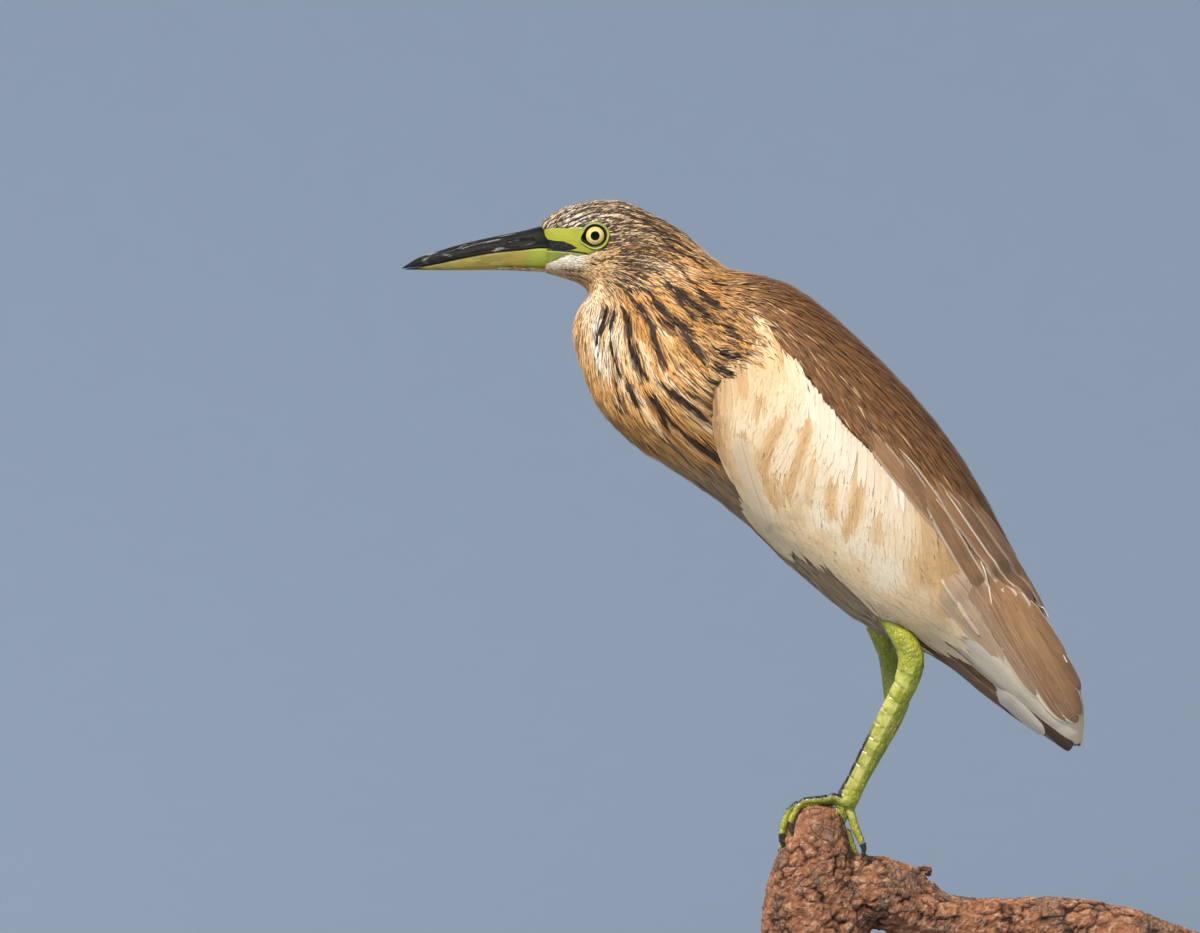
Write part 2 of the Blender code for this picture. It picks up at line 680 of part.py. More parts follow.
def ball(collection, name, centre, radius, material, segments=12, rings=8):
    """A globe with its poles on the axis across the bird."""
    edit = bmesh.new()
    turn = Matrix.Rotation(math.pi / 2, 4, "X")
    place = Matrix.Translation(Vector(centre) * MM) @ turn
    bmesh.ops.create_uvsphere(edit, u_segments=segments, v_segments=rings, radius=radius * MM, matrix=place)
    mesh = bpy.data.meshes.new(name)
    edit.to_mesh(mesh)
    edit.free()
    mesh.shade_smooth()
    made = bpy.data.objects.new(name, mesh)
    collection.objects.link(made)
    made.data.materials.append(finish(material))
    return made


def make_head(parts, cutters):
    """The head with its two eyes let in, and the bill."""
    head = body_length(parts, "head", 0, HEAD_END, "plumage_streaked")
    sockets = []
    for side, word in ((-1, "left"), (1, "right")):
        centre = (EYE_CENTRE[0], side * EYE_CENTRE[1], EYE_CENTRE[2])
        ball(parts, f"eye_{word}", centre, EYE_RADIUS, "iris")
        sockets.append(hide_cutter(ball(cutters, f"socket_{word}", centre, EYE_RADIUS + GAP, "iris")))
    cut(head, sockets)
    bill_half(parts, "bill_upper", BILL_UPPER, "bill_dark")
    bill_half(parts, "bill_lower", BILL_LOWER, "bill_pale")


# ---------------------------------------------------------------- perch and stand
def bark_swell(around, along):
    """A smooth, repeatable swelling of the bark, as a share of the radius."""
    waves = math.sin(3 * around + 0.11 * along) + 0.6 * math.sin(5 * around - 0.23 * along + 1.3)
    return BARK_RELIEF * (waves + 0.5 * math.sin(0.31 * along + 2 * around))


def stub_rings(points_round):
    """Level rings of the stub from the bottom up, slanting more and more towards its broken top."""
    rings = []
    top, bottom = STUB[0][0], STUB[-1][0]
    for z, x, half_x, half_y in reversed(STUB):
        share = (z - bottom) / (top - bottom)
        slant = STUB_SLANT * min(max((share - STUB_SLANT_FROM) / (1 - STUB_SLANT_FROM), 0.0), 1.0)
        ring = []
        for k in range(points_round):
            angle = 2 * math.pi * k / points_round
            powers = abs(math.cos(angle)) ** STUB_ROUNDNESS + abs(math.sin(angle)) ** STUB_ROUNDNESS
            reach = powers ** (-1 / STUB_ROUNDNESS)
            swell = 1 + (bark_swell(angle, z) if z < STUB_SMOOTH_FROM else 0)
            across = half_y * reach * swell * math.sin(angle)
            ring.append(Vector((x + half_x * reach * swell * math.cos(angle), across, z - slant * across)))
        rings.append(ring)
    return rings


def limb_of_wood(joints, points_round):
    """Rings of the limb, swollen here and there as bark is."""
    rings = limb_rings([(*p, p[3]) for p in joints], points_round)
    for k, ring in enumerate(rings):
        middle = sum(ring, Vector()) / len(ring)
        for j, point in enumerate(ring):
            ring[j] = middle + (point - middle) * (1 + bark_swell(2 * math.pi * j / points_round, 6.0 * k))
    return rings


def make_perch(parts, cutters, room):
    """The stub and the limb that leaves it, joined, with room for the feet and a hole for each rod."""
    perch = loft(parts, "perch", stub_rings(STUB_POINTS), "bark")
    limb = loft(cutters, "perch_limb", limb_of_wood(LIMB, LIMB_OF_WOOD_POINTS), "bark")
    spur = loft(cutters, "perch_spur", limb_rings([(*p, p[3]) for p in SPUR], SPUR_POINTS), "bark")
    join(perch, [limb, spur])
    holes = []
    for word, x, top in (("front", FRONT_ROD_X, FRONT_ROD_TOP), ("rear", REAR_ROD_X, REAR_ROD_TOP)):
        radius, ceiling = ROD_RADIUS + GAP, top + GAP
        bore = ((0, ceiling), (radius, ceiling), (radius, BASE_SIZE[2]), (0, BASE_SIZE[2]))
        holes.append(hide_cutter(turned(cutters, f"hole_{word}", x, bore, "bark")))
    cut(perch, room + holes)


def turned(collection, name, x, profile, material):
    """A turned piece on an upright axis. The profile is (radius, z) from the top of its axis down."""
    edit = bmesh.new()
    points = [edit.verts.new((r * MM, 0, z * MM)) for r, z in profile]
    for above, below in zip(points, points[1:]):
        edit.edges.new((above, below))
    mesh = bpy.data.meshes.new(name)
    edit.to_mesh(mesh)
    edit.free()
    made = bpy.data.objects.new(name, mesh)
    made.location.x = x * MM
    collection.objects.link(made)
    made.data.materials.append(finish(material))
    screw = made.modifiers.new("turn", "SCREW")
    screw.steps = screw.render_steps = ROD_SIDES
    screw.use_merge_vertices = True
    screw.merge_threshold = AXIS_MERGE
    screw.use_smooth_shade = False
    return made


def make_stand(parts):
    """A plain board with two short rods that carry the perch."""
    length, width, height = BASE_SIZE
    edit = bmesh.new()
    place = Matrix.Translation((0, 0, height / 2 * MM)) @ Matrix.Diagonal((length * MM, width * MM, height * MM, 1))
    bmesh.ops.create_cube(edit, size=1.0, matrix=place)
    upright_edges = [e for e in edit.edges if abs(e.verts[0].co.z - e.verts[1].co.z) > height / 2 * MM]
    corner = BASE_CORNER * MM
    bmesh.ops.bevel(edit, geom=upright_edges, offset=corner, segments=CORNER_SEGMENTS, profile=0.5, affect="EDGES")
    top_edges = [e for e in edit.edges if all(v.co.z > height / 2 * MM for v in e.verts)]
    chamfer = BASE_CHAMFER * MM
    bmesh.ops.bevel(edit, geom=top_edges, offset=chamfer, segments=CHAMFER_SEGMENTS, profile=0.5, affect="EDGES")
    mesh = bpy.data.meshes.new("stand_base")
    edit.to_mesh(mesh)
    edit.free()
    base = bpy.data.objects.new("stand_base", mesh)
    parts.objects.link(base)
    base.data.materials.append(finish("stand_wood"))
    floor = height + GAP
    for word, x, top in (("front", FRONT_ROD_X, FRONT_ROD_TOP), ("rear", REAR_ROD_X, REAR_ROD_TOP)):
        profile = (
            (0, top),
            (ROD_RADIUS, top),
            (ROD_RADIUS, floor + ROD_FOOT_HEIGHT + ROD_CHAMFER),
            (ROD_RADIUS + ROD_CHAMFER, floor + ROD_FOOT_HEIGHT),
            (ROD_FOOT_RADIUS, floor + ROD_FOOT_HEIGHT - ROD_CHAMFER),
            (ROD_FOOT_RADIUS, floor),
            (0, floor),
        )
        turned(parts, f"stand_rod_{word}", x, profile, "stand_steel")


# ---------------------------------------------------------------- the whole bird
def main():
    """Makes every piece, then takes from trunk, tail and perch the room that the others need."""
    clear_scene()
    parts = new_collection("heron")
    cutters = new_collection("heron_cutters")
    make_head(parts, cutters)
    body_length(parts, "neck_upper", HEAD_END, NECK_FOLD, "plumage_streaked")
    body_length(parts, "neck_lower", NECK_FOLD, NECK_END, "plumage_streaked")
    trunk = body_length(parts, "trunk", NECK_END, TRUNK_END, "plumage_brown")
    tail = body_length(parts, "tail", TRUNK_END, LAST, "plumage_white")
    make_wings(parts)
    room = wing_room(cutters)
    left_room, left_grip = make_leg(parts, cutters, LEFT_LEG, "left")
    right_room, right_grip = make_leg(parts, cutters, RIGHT_LEG, "right")
    cut(trunk, [*room, left_room, right_room])
    cut(tail, room[2:])
    make_perch(parts, cutters, left_grip + right_grip)
    make_stand(parts)


main()
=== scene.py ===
"""The looks of a squacco heron that grips a cut length of branch on a plain display stand.

The bird looks along -X, its left side faces -Y and +Z is up. Sizes are in millimetres, and a mesh
is scaled to metres as it is made. One skin follows the solids of the body, small vanes and plumes
of solid mesh lie over it, and the quills of the folded wings and the tail are laid on top.
"""

import logging
import math
from dataclasses import dataclass, field
from enum import Enum
from typing import Callable

import bpy
import numpy as np
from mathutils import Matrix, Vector, noise
from mathutils.bvhtree import BVHTree
from mathutils.kdtree import KDTree


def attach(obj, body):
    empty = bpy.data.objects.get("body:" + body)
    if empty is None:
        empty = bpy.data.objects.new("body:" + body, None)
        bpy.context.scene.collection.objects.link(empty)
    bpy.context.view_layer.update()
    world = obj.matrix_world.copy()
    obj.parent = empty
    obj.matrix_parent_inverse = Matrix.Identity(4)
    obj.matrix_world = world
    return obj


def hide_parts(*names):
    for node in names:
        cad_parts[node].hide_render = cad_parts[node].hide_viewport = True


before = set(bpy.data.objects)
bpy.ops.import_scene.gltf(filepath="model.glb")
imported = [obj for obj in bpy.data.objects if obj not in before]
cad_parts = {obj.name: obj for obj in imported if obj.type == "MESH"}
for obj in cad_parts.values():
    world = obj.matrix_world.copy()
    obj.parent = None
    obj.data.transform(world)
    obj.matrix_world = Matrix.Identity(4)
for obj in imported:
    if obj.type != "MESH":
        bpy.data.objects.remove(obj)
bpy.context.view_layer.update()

LOG = logging.getLogger("heron")
MM = 0.001
BAKE_MAP = "OFBake"
LEFT, RIGHT = -1, 1
SEED = 7

Array = np.ndarray
Colour = tuple[float, float, float, float]
Place = tuple[float, float]
Point = tuple[float, float, float]


# ---------------------------------------------------------------- the lie of the plumage
@dataclass(frozen=True)
class Lie:
    """How the plumage lies at one place on the side of the bird.

    Heading is in degrees in the plane of symmetry: 0 points to the tail and -90 down. Depth is how
    far the skin lies under the outer form. Warm runs from white over cream and buff to orange buff,
    and umber mixes that with brown.
    """

    x: float
    z: float
    heading: float
    length: float
    width: float
    depth: float
    warm: float
    umber: float


BODY_LIE = tuple(
    Lie(*row)
    for row in (
        # forehead, crown and nape
        (-144.0, 361.0, 45, 2.2, 0.50, 0.9, 0.30, 0.50),
        (-136.0, 367.0, 32, 3.0, 0.55, 1.0, 0.28, 0.38),
        (-126.0, 371.5, 14, 4.0, 0.60, 1.1, 0.28, 0.32),
        (-127.0, 365.5, 24, 3.2, 0.55, 1.0, 0.12, 0.15),
        (-115.0, 373.0, 0, 5.0, 0.65, 1.2, 0.38, 0.30),
        (-104.0, 372.0, -14, 6.0, 0.75, 1.4, 0.34, 0.42),
        (-94.0, 367.5, -33, 8.0, 0.85, 1.6, 0.44, 0.40),
        (-86.0, 362.0, -38, 9.5, 0.90, 1.8, 0.54, 0.37),
        (-78.0, 356.5, -40, 11.0, 0.95, 1.9, 0.56, 0.37),
        (-70.0, 350.0, -36, 12.0, 0.95, 2.0, 0.56, 0.37),
        (-63.0, 344.5, -28, 12.0, 1.00, 2.2, 0.70, 0.35),
        # cheek
        (-116.0, 365.5, 8, 3.0, 0.50, 1.0, 0.25, 0.18),
        (-110.0, 360.0, 12, 3.4, 0.55, 1.1, 0.41, 0.30),
        (-100.0, 360.0, -4, 5.0, 0.70, 1.3, 0.44, 0.30),
        (-90.0, 355.0, -24, 7.0, 0.85, 1.5, 0.48, 0.30),
        (-80.0, 346.0, -38, 9.0, 0.95, 1.7, 0.46, 0.27),
        (-120.0, 350.5, 4, 2.0, 0.45, 0.9, 0.45, 0.22),
        (-112.0, 352.0, 12, 3.0, 0.50, 1.0, 0.60, 0.25),
        (-105.0, 349.0, 2, 4.4, 0.60, 1.2, 0.46, 0.54),
        (-95.0, 346.0, -14, 6.0, 0.75, 1.4, 0.46, 0.54),
        (-86.0, 339.0, -34, 8.5, 0.90, 1.7, 0.48, 0.37),
        (-136.0, 346.0, -2, 2.2, 0.50, 0.8, 0.10, 0.02),
        (-127.0, 346.8, -6, 2.8, 0.55, 0.9, 0.04, 0.00),
        (-131.5, 347.2, -6, 2.8, 0.55, 0.9, 0.04, 0.00),
        (-135.5, 346.4, -6, 2.6, 0.50, 0.8, 0.08, 0.02),
        (-133.5, 342.6, -8, 2.2, 0.50, 0.9, 0.50, 0.79),
        (-127.0, 342.4, -12, 3.0, 0.55, 1, 0.52, 0.83),
        (-120.5, 340.0, -22, 4.0, 0.70, 1.2, 0.55, 0.75),
        (-118.0, 343.0, -16, 4.0, 0.65, 1.1, 0.50, 0.73),
        (-108.0, 339.0, -24, 6.0, 0.80, 1.4, 0.46, 0.44),
        (-98.0, 335.0, -34, 8.0, 0.95, 1.8, 0.48, 0.32),
        # chin and throat, their umber partly own colour and partly painted shade under the bill and the chin
        (-138.0, 341.8, -6, 2.2, 0.50, 0.8, 0.50, 0.79),
        (-130.0, 339.5, -14, 3.0, 0.60, 0.9, 0.55, 0.77),
        (-124.0, 336.5, -30, 4.0, 0.70, 1.2, 0.62, 0.75),
        (-121.0, 333.5, -52, 5.0, 0.80, 1.6, 0.65, 0.86),
        (-116.0, 334.0, -50, 6.0, 0.90, 1.6, 0.50, 0.45),
        (-108.0, 331.0, -60, 8.0, 1.00, 2, 0.54, 0.46),
        # front of the neck
        (-124.0, 330.0, -104, 6.0, 1.00, 2.0, 0.35, 0.02),
        (-127.0, 325.0, -98, 8.0, 1.10, 2.2, 0.46, 0.04),
        (-129.0, 316.0, -91, 10.0, 1.20, 2.3, 0.48, 0.04),
        (-127.5, 306.0, -81, 12.0, 1.30, 2.4, 0.48, 0.04),
        (-123.0, 295.0, -68, 13.0, 1.30, 2.5, 0.58, 0.05),
        (-117.0, 283.0, -56, 14.0, 1.30, 2.6, 0.68, 0.07),
        (-108.0, 273.0, -46, 14.0, 1.30, 2.7, 0.84, 0.25),
        (-96.0, 262.0, -40, 14.0, 1.30, 2.7, 0.80, 0.32),
        (-82.0, 253.0, -38, 14.0, 1.30, 2.8, 0.62, 0.45),
        # side of the neck, fanning out from the throat
        (-115.5, 322.0, -104, 10.0, 1.20, 2.2, 0.48, 0.04),
        (-111.0, 320.0, -97, 10.0, 1.20, 2.2, 0.56, 0.11),
        (-105.0, 320.0, -78, 11.0, 1.20, 2.2, 0.64, 0.11),
        (-117.0, 305.0, -86, 12.0, 1.25, 2.3, 0.30, 0.00),
        (-111.0, 304.0, -76, 12.0, 1.25, 2.3, 0.62, 0.11),
        (-104.0, 305.0, -72, 12.0, 1.30, 2.4, 0.66, 0.11),
        (-100.0, 298.0, -62, 13.0, 1.30, 2.5, 0.66, 0.11),
        (-108.0, 290.0, -68, 13.0, 1.30, 2.5, 0.66, 0.11),
        (-98.0, 288.0, -58, 13.0, 1.30, 2.5, 0.69, 0.12),
        (-90.0, 281.0, -54, 13.0, 1.30, 2.6, 0.69, 0.14),
        (-82.0, 272.0, -46, 14.0, 1.30, 2.8, 0.74, 0.21),
        (-98.0, 319.0, -62, 11.0, 1.20, 2.3, 0.66, 0.14),
        (-93.0, 309.0, -63, 12.0, 1.25, 2.4, 0.59, 0.14),
        (-90.0, 300.0, -60, 12.0, 1.30, 2.5, 0.56, 0.14),
        (-100.0, 328.5, -52, 9.0, 1.05, 2.0, 0.74, 0.21),
        (-92.0, 330.0, -44, 9.5, 1.05, 2.0, 0.74, 0.25),
        (-86.0, 320.0, -44, 11.0, 1.15, 2.3, 0.72, 0.30),
        (-79.0, 313.0, -45, 12.0, 1.20, 2.5, 0.68, 0.42),
        (-73.0, 306.0, -48, 12.0, 1.20, 2.6, 0.68, 0.37),
        (-88.0, 292.0, -46, 13.0, 1.30, 2.6, 0.52, 0.14),
        (-79.0, 285.0, -40, 13.0, 1.30, 2.8, 0.59, 0.17),
        (-72.0, 278.0, -40, 13.0, 1.30, 3.0, 0.62, 0.19),
        (-80.0, 297.0, -40, 13.0, 1.25, 2.7, 0.56, 0.17),
        (-71.0, 291.0, -34, 12.0, 1.25, 2.8, 0.59, 0.19),
        (-75.0, 266.0, -42, 14.0, 1.30, 3.0, 0.70, 0.25),
        # shoulder, whose plumes fall over the front of the wing
        (-78.0, 333.0, -42, 9.5, 1.05, 2.2, 0.75, 0.30),
        (-74.0, 323.0, -42, 10.5, 1.10, 2.4, 0.75, 0.50),
        (-66.0, 330.0, -38, 10.5, 1.10, 2.4, 0.70, 0.60),
        (-66.0, 318.0, -36, 11.0, 1.15, 2.5, 0.72, 0.65),
        (-59.0, 312.0, -34, 11.5, 1.15, 2.6, 0.68, 0.60),
        (-64.0, 307.0, -16, 11.0, 1.15, 2.6, 0.60, 0.45),
        (-60.0, 301.0, -22, 10.0, 1.15, 2.6, 0.50, 0.20),
        (-65.0, 297.0, -22, 10.0, 1.20, 2.6, 0.45, 0.15),
        (-56.0, 322.0, -46, 11.5, 1.15, 2.6, 0.62, 0.70),
        # mantle and scapulars
        (-60.0, 341.5, -12, 11.0, 1.05, 2.4, 0.60, 0.75),
        (-48.0, 339.0, -24, 13.0, 1.10, 2.6, 0.55, 0.95),
        (-36.0, 334.5, -33, 15.0, 1.15, 2.7, 0.50, 1.00),
        (-22.0, 326.5, -41, 17.0, 1.20, 2.8, 0.50, 1.00),
        (-8.0, 313.5, -47, 18.0, 1.20, 2.8, 0.50, 1.00),
        (8.0, 297.5, -51, 18.0, 1.20, 2.8, 0.50, 1.00),
        (24.0, 279.5, -55, 18.0, 1.20, 2.8, 0.50, 1.00),
        (40.0, 256.5, -60, 18.0, 1.20, 2.6, 0.50, 1.00),
        (52.0, 234.5, -64, 17.0, 1.20, 2.4, 0.50, 1.00),
        (62.0, 213.5, -66, 15.0, 1.15, 2.2, 0.50, 0.95),
        (-45.0, 326.0, -46, 13.0, 1.15, 2.6, 0.50, 0.85),
        (-37.0, 313.0, -54, 14.0, 1.15, 2.6, 0.52, 0.90),
        (-28.0, 319.0, -48, 15.0, 1.15, 2.7, 0.50, 1.00),
        (-24.0, 298.0, -62, 15.0, 1.15, 2.6, 0.52, 0.95),
        (-14.0, 305.0, -52, 17.0, 1.20, 2.7, 0.50, 1.00),
        (-9.0, 281.0, -64, 16.0, 1.20, 2.6, 0.52, 0.95),
        (3.0, 285.0, -56, 18.0, 1.20, 2.7, 0.50, 1.00),
        (8.0, 262.0, -64, 17.0, 1.20, 2.6, 0.52, 0.95),
        (22.0, 262.0, -60, 18.0, 1.20, 2.6, 0.50, 1.00),
        (26.0, 242.0, -63, 17.0, 1.20, 2.4, 0.52, 0.95),
        (40.0, 235.0, -63, 17.0, 1.20, 2.4, 0.50, 1.00),
        (42.0, 222.0, -64, 16.0, 1.20, 2.2, 0.50, 0.92),
        (54.0, 212.0, -66, 15.0, 1.15, 2.2, 0.50, 0.95),
        (64.0, 201.0, -68, 12.0, 1.10, 2.0, 0.50, 0.95),
        # belly and vent, their umber painted shade on the pale underside
        (-66.0, 249.0, -38, 13.0, 1.40, 1.8, 0.45, 0.70),
        (-45.0, 232.0, -38, 13.0, 1.40, 1.8, 0.38, 0.65),
        (-24.0, 212.0, -38, 13.0, 1.40, 1.8, 0.35, 0.60),
        (-4.0, 194.0, -34, 12.0, 1.40, 1.8, 0.32, 0.57),
        (14.0, 183.0, -30, 12.0, 1.40, 1.6, 0.30, 0.70),
        (32.0, 173.5, -34, 12.0, 1.40, 1.3, 0.40, 0.92),
        (50.0, 160.0, -38, 12.0, 1.30, 1.2, 0.40, 0.92),
        (72.0, 144.0, -42, 9.0, 1.20, 1.1, 0.30, 0.75),
    )
)

WING_LIE = tuple(
    Lie(*row)
    for row in (
        # the front rim: its buff and umber are painted shade, as the rim faces away from the light
        (-67.5, 290.0, -88, 10.0, 2.2, 0.5, 0.54, 0.48),
        (-66.5, 275.0, -86, 11.0, 2.2, 0.5, 0.51, 0.50),
        (-64.0, 262.0, -74, 12.0, 2.4, 0.5, 0.51, 0.42),
        (-60.0, 252.0, -72, 13.0, 2.6, 0.5, 0.48, 0.29),
        (-54.5, 240.0, -68, 13.0, 2.8, 0.5, 0.42, 0.21),
        (-48.0, 232.0, -62, 10.0, 2.8, 0.5, 0.42, 0.12),
        (-51.0, 312.0, -72, 9.0, 2.0, 0.55, 0.42, 0.18),
        (-45.0, 318.0, -62, 9.0, 2.0, 0.55, 0.35, 0.10),
        (-56.0, 298.0, -84, 9.0, 2.2, 0.55, 0.50, 0.22),
        (-49.0, 292.0, -96, 10.0, 2.3, 0.55, 0.38, 0.12),
        (-47.5, 278.0, -104, 11.0, 2.4, 0.55, 0.30, 0.05),
        (-57.0, 276.0, -96, 11.0, 2.4, 0.55, 0.30, 0.06),
        (-39.0, 302.0, -76, 10.0, 2.2, 0.55, 0.45, 0.04),
        (-35.0, 287.0, -94, 11.0, 2.4, 0.55, 0.30, 0.02),
        (-30.0, 300.0, -74, 10.0, 2.2, 0.55, 0.24, 0.00),
        (-24.0, 286.0, -88, 11.0, 2.4, 0.55, 0.14, 0.00),
        (-38.0, 265.0, -112, 12.0, 2.5, 0.55, 0.28, 0.05),
        (-28.0, 265.0, -104, 12.0, 2.5, 0.55, 0.24, 0.02),
        (-42.0, 247.0, -80, 12.0, 2.6, 0.55, 0.28, 0.06),
        (-33.0, 250.0, -100, 12.0, 2.5, 0.55, 0.32, 0.05),
        (-34.0, 236.0, -66, 13.0, 2.8, 0.55, 0.42, 0.10),
        (-14.0, 276.0, -92, 12.0, 2.5, 0.55, 0.14, 0.00),
        (-10.0, 263.0, -98, 12.0, 2.5, 0.55, 0.16, 0.00),
        (-18.0, 250.0, -98, 12.0, 2.5, 0.55, 0.24, 0.02),
        (-22.0, 236.0, -82, 13.0, 2.7, 0.55, 0.22, 0.02),
        (-24.0, 226.0, -62, 14.0, 2.8, 0.55, 0.42, 0.10),
        (4.0, 255.0, -92, 12.0, 2.5, 0.55, 0.14, 0.00),
        (-1.0, 241.0, -96, 12.0, 2.6, 0.55, 0.26, 0.02),
        (-7.0, 226.0, -82, 13.0, 2.8, 0.55, 0.24, 0.02),
        (-9.0, 212.0, -62, 14.0, 2.9, 0.55, 0.42, 0.09),
        (16.0, 240.0, -84, 13.0, 2.7, 0.55, 0.12, 0.00),
        (12.0, 226.0, -84, 13.0, 2.8, 0.55, 0.30, 0.10),
        (6.0, 212.0, -72, 14.0, 2.9, 0.55, 0.22, 0.04),
        (8.0, 199.0, -58, 14.0, 3.0, 0.5, 0.42, 0.11),
        (27.0, 229.0, -78, 13.0, 2.8, 0.5, 0.48, 0.40),
        (24.0, 214.0, -74, 13.0, 2.9, 0.5, 0.55, 0.34),
        (20.0, 201.0, -62, 14.0, 3.0, 0.5, 0.40, 0.16),
        (38.0, 216.0, -68, 13.0, 3.0, 0.5, 0.55, 0.66),
        (36.0, 203.0, -64, 13.0, 3.0, 0.5, 0.58, 0.50),
        (52.0, 196.0, -64, 13.0, 3.0, 0.5, 0.50, 0.75),
        (62.0, 176.0, -62, 13.0, 3.0, 0.5, 0.50, 0.75),
        (78.0, 158.0, -60, 10.0, 3.0, 0.45, 0.50, 0.70),
        (40.0, 182.0, -44, 12.0, 3.0, 0.5, 0.34, 0.05),
        (62.0, 164.0, -46, 10.0, 3.0, 0.45, 0.34, 0.05),
        (82.0, 144.0, -50, 8.0, 3.0, 0.4, 0.34, 0.08),
    )
)

# The folded wing from the side: the rim that stands over breast and belly, then its upper border
# under the shoulder, the mantle and the long scapulars.
WING_RIM: tuple[Place, ...] = (
    (-60.5, 298.6), (-66.0, 294.8), (-68.6, 288.5), (-68.8, 280.0), (-67.5, 269.0), (-60.6, 254.8),
    (-56.8, 241.9), (-52.0, 233.0), (-47.7, 229.4), (-42.0, 230.4), (-38.0, 233.0), (-28.4, 227.7),
    (-19.8, 218.2), (-6.9, 206.2), (1.7, 198.9), (9.5, 195.4), (34.0, 180.0), (55.0, 165.3), (73.5, 149.8),
    (87.3, 138.2),
)
WING_TOP: tuple[Place, ...] = (
    (90.8, 138.5), (94.0, 149.4), (92.5, 163.2), (85.5, 178.0), (77.0, 195.0), (70.0, 201.4), (62.0, 199.5),
    (54.0, 200.0), (45.0, 212.0), (36.0, 224.0), (28.8, 234.0), (18.9, 244.4), (4.3, 260.0), (-9.9, 274.0),
    (-20.6, 287.0), (-31.0, 301.0), (-41.7, 312.0), (-52.5, 327.0), (-50.2, 316.3), (-52.4, 309.4),
    (-56.4, 303.4),
)
# Behind this line the wing is quills and no longer small coverts.
COVERTS_END: tuple[Place, Place] = ((36.0, 226.0), (14.0, 190.0))

# Sections of the body square to its plane of symmetry, as (low x, low z, high x, high z).
SECTIONS = (
    (-141.0, 341.9, -142.4, 364.0),
    (-134.5, 340.2, -136.5, 368.4),
    (-127.6, 337.9, -128.0, 371.9),
    (-123.2, 335.2, -117.0, 373.6),
    (-121.8, 331.6, -105.5, 372.9),
    (-125.8, 327.2, -95.5, 368.2),
    (-129.2, 318.6, -87.0, 363.6),
    (-128.2, 308.4, -79.0, 358.5),
    (-124.5, 297.6, -71.2, 350.9),
    (-119.4, 285.2, -61.4, 343.6),
    (-110.4, 274.2, -49.6, 341.8),
    (-98.7, 264.4, -37.0, 338.4),
    (-84.5, 255.4, -23.2, 329.8),
    (-68.3, 244.2, -7.9, 316.4),
    (-50.6, 228.3, 9.6, 299.2),
    (-33.3, 213.2, 26.8, 280.0),
    (-17.7, 199.9, 42.9, 256.9),
    (-2.6, 188.9, 55.6, 233.6),
    (14.0, 181.2, 66.0, 212.9),
    (30.3, 173.6, 75.0, 194.9),
    (46.6, 160.6, 83.2, 178.0),
    (61.0, 149.8, 90.1, 163.2),
    (74.6, 140.2, 91.6, 149.4),
    (83.6, 134.2, 90.2, 138.8),
)


@dataclass(frozen=True)
class Streak:
    """A streak in the plumage, along points on the side of the bird."""

    points: tuple[Place, ...]
    half_width: float
    strength: float = 1.0


NECK_STREAKS = (
    Streak(((-114.1, 326.7), (-115.6, 320.8), (-117.8, 314.0), (-118.5, 309.6)), 1.0),
    Streak(((-110.3, 326.7), (-112.2, 320.8), (-112.9, 314.0)), 0.8),
    Streak(((-112.9, 311.8), (-111.5, 305.8), (-110.0, 300.6), (-107.7, 296.2)), 0.75),
    Streak(
        (
            (-106.6, 325.2), (-104.4, 317.0), (-104.0, 310.3), (-102.1, 304.4), (-99.5, 298.4),
            (-95.8, 293.2),
        ),
        1.15,
    ),
    Streak(((-95.8, 288.7), (-91.3, 282.7), (-89.1, 276.8), (-86.1, 272.3)), 1.3),
    Streak(((-105.5, 293.9), (-103.3, 288.7), (-101.0, 284.2), (-99.5, 279.8)), 1.0),
    Streak(((-111.5, 297.6), (-109.2, 290.2), (-108.1, 284.2), (-108.5, 279.0)), 0.7),
    Streak(((-101.0, 328.2), (-95.1, 319.3), (-93.2, 311.1), (-90.6, 304.4), (-88.4, 300.6)), 1.3, 0.9),
    Streak(
        ((-91.3, 320.8), (-86.9, 319.3), (-80.9, 316.3), (-77.2, 311.1), (-72.7, 305.8), (-71.2, 301.4)),
        1.6,
        0.9,
    ),
    Streak(((-95.1, 328.9), (-90.6, 326.0), (-86.1, 322.2), (-79.4, 317.8), (-75.7, 313.3)), 1.1),
    Streak(((-87.6, 290.9), (-80.9, 285.7), (-75.7, 281.2), (-70.5, 276.8)), 1.5),
    Streak(((-80.2, 290.2), (-74.2, 286.5), (-69.0, 282.7)), 1.1, 0.8),
    Streak(((-89.1, 279.8), (-83.1, 273.8), (-77.9, 268.6), (-71.2, 263.4), (-65.2, 258.9)), 1.1),
    Streak(((-78.7, 268.6), (-72.0, 264.9), (-66.7, 261.9)), 1.2),
    Streak(((-66.0, 308.8), (-61.5, 306.6), (-56.5, 305.4)), 1.6),
    Streak(((-68.2, 300.6), (-63.8, 300.3), (-58.5, 296.9)), 1.4),
    Streak(((-71.2, 295.4), (-67.6, 293.9)), 0.7),
    Streak(((-115.2, 303.6), (-115.6, 299.1)), 0.45, 0.6),
    Streak(((-123.4, 324.9), (-120.4, 325.2)), 0.45, 0.8),
    Streak(((-86.9, 267.8), (-80.9, 261.9), (-75.7, 256.7)), 0.8, 0.7),
    Streak(
        (
            (-109.9, 337.0), (-103.8, 334.0), (-97.6, 334.0), (-93.0, 330.1), (-88.4, 324.8),
            (-85.3, 319.4),
        ),
        0.85,
        0.9,
    ),
    Streak(((-88.4, 337.8), (-83.8, 332.4), (-79.9, 326.3), (-75.3, 320.9)), 1.0),
    Streak(((-83.8, 334.7), (-77.6, 328.6), (-71.5, 324.0), (-66.9, 319.4)), 1.6),
    Streak(((-74.6, 334.7), (-70.0, 330.1), (-64.1, 325.8)), 1.6),
    Streak(((-68.9, 337.0), (-61.7, 336.8)), 0.7),
    Streak(((-66.0, 322.0), (-60.0, 317.0), (-56.5, 312.5)), 1.3, 0.8),
)

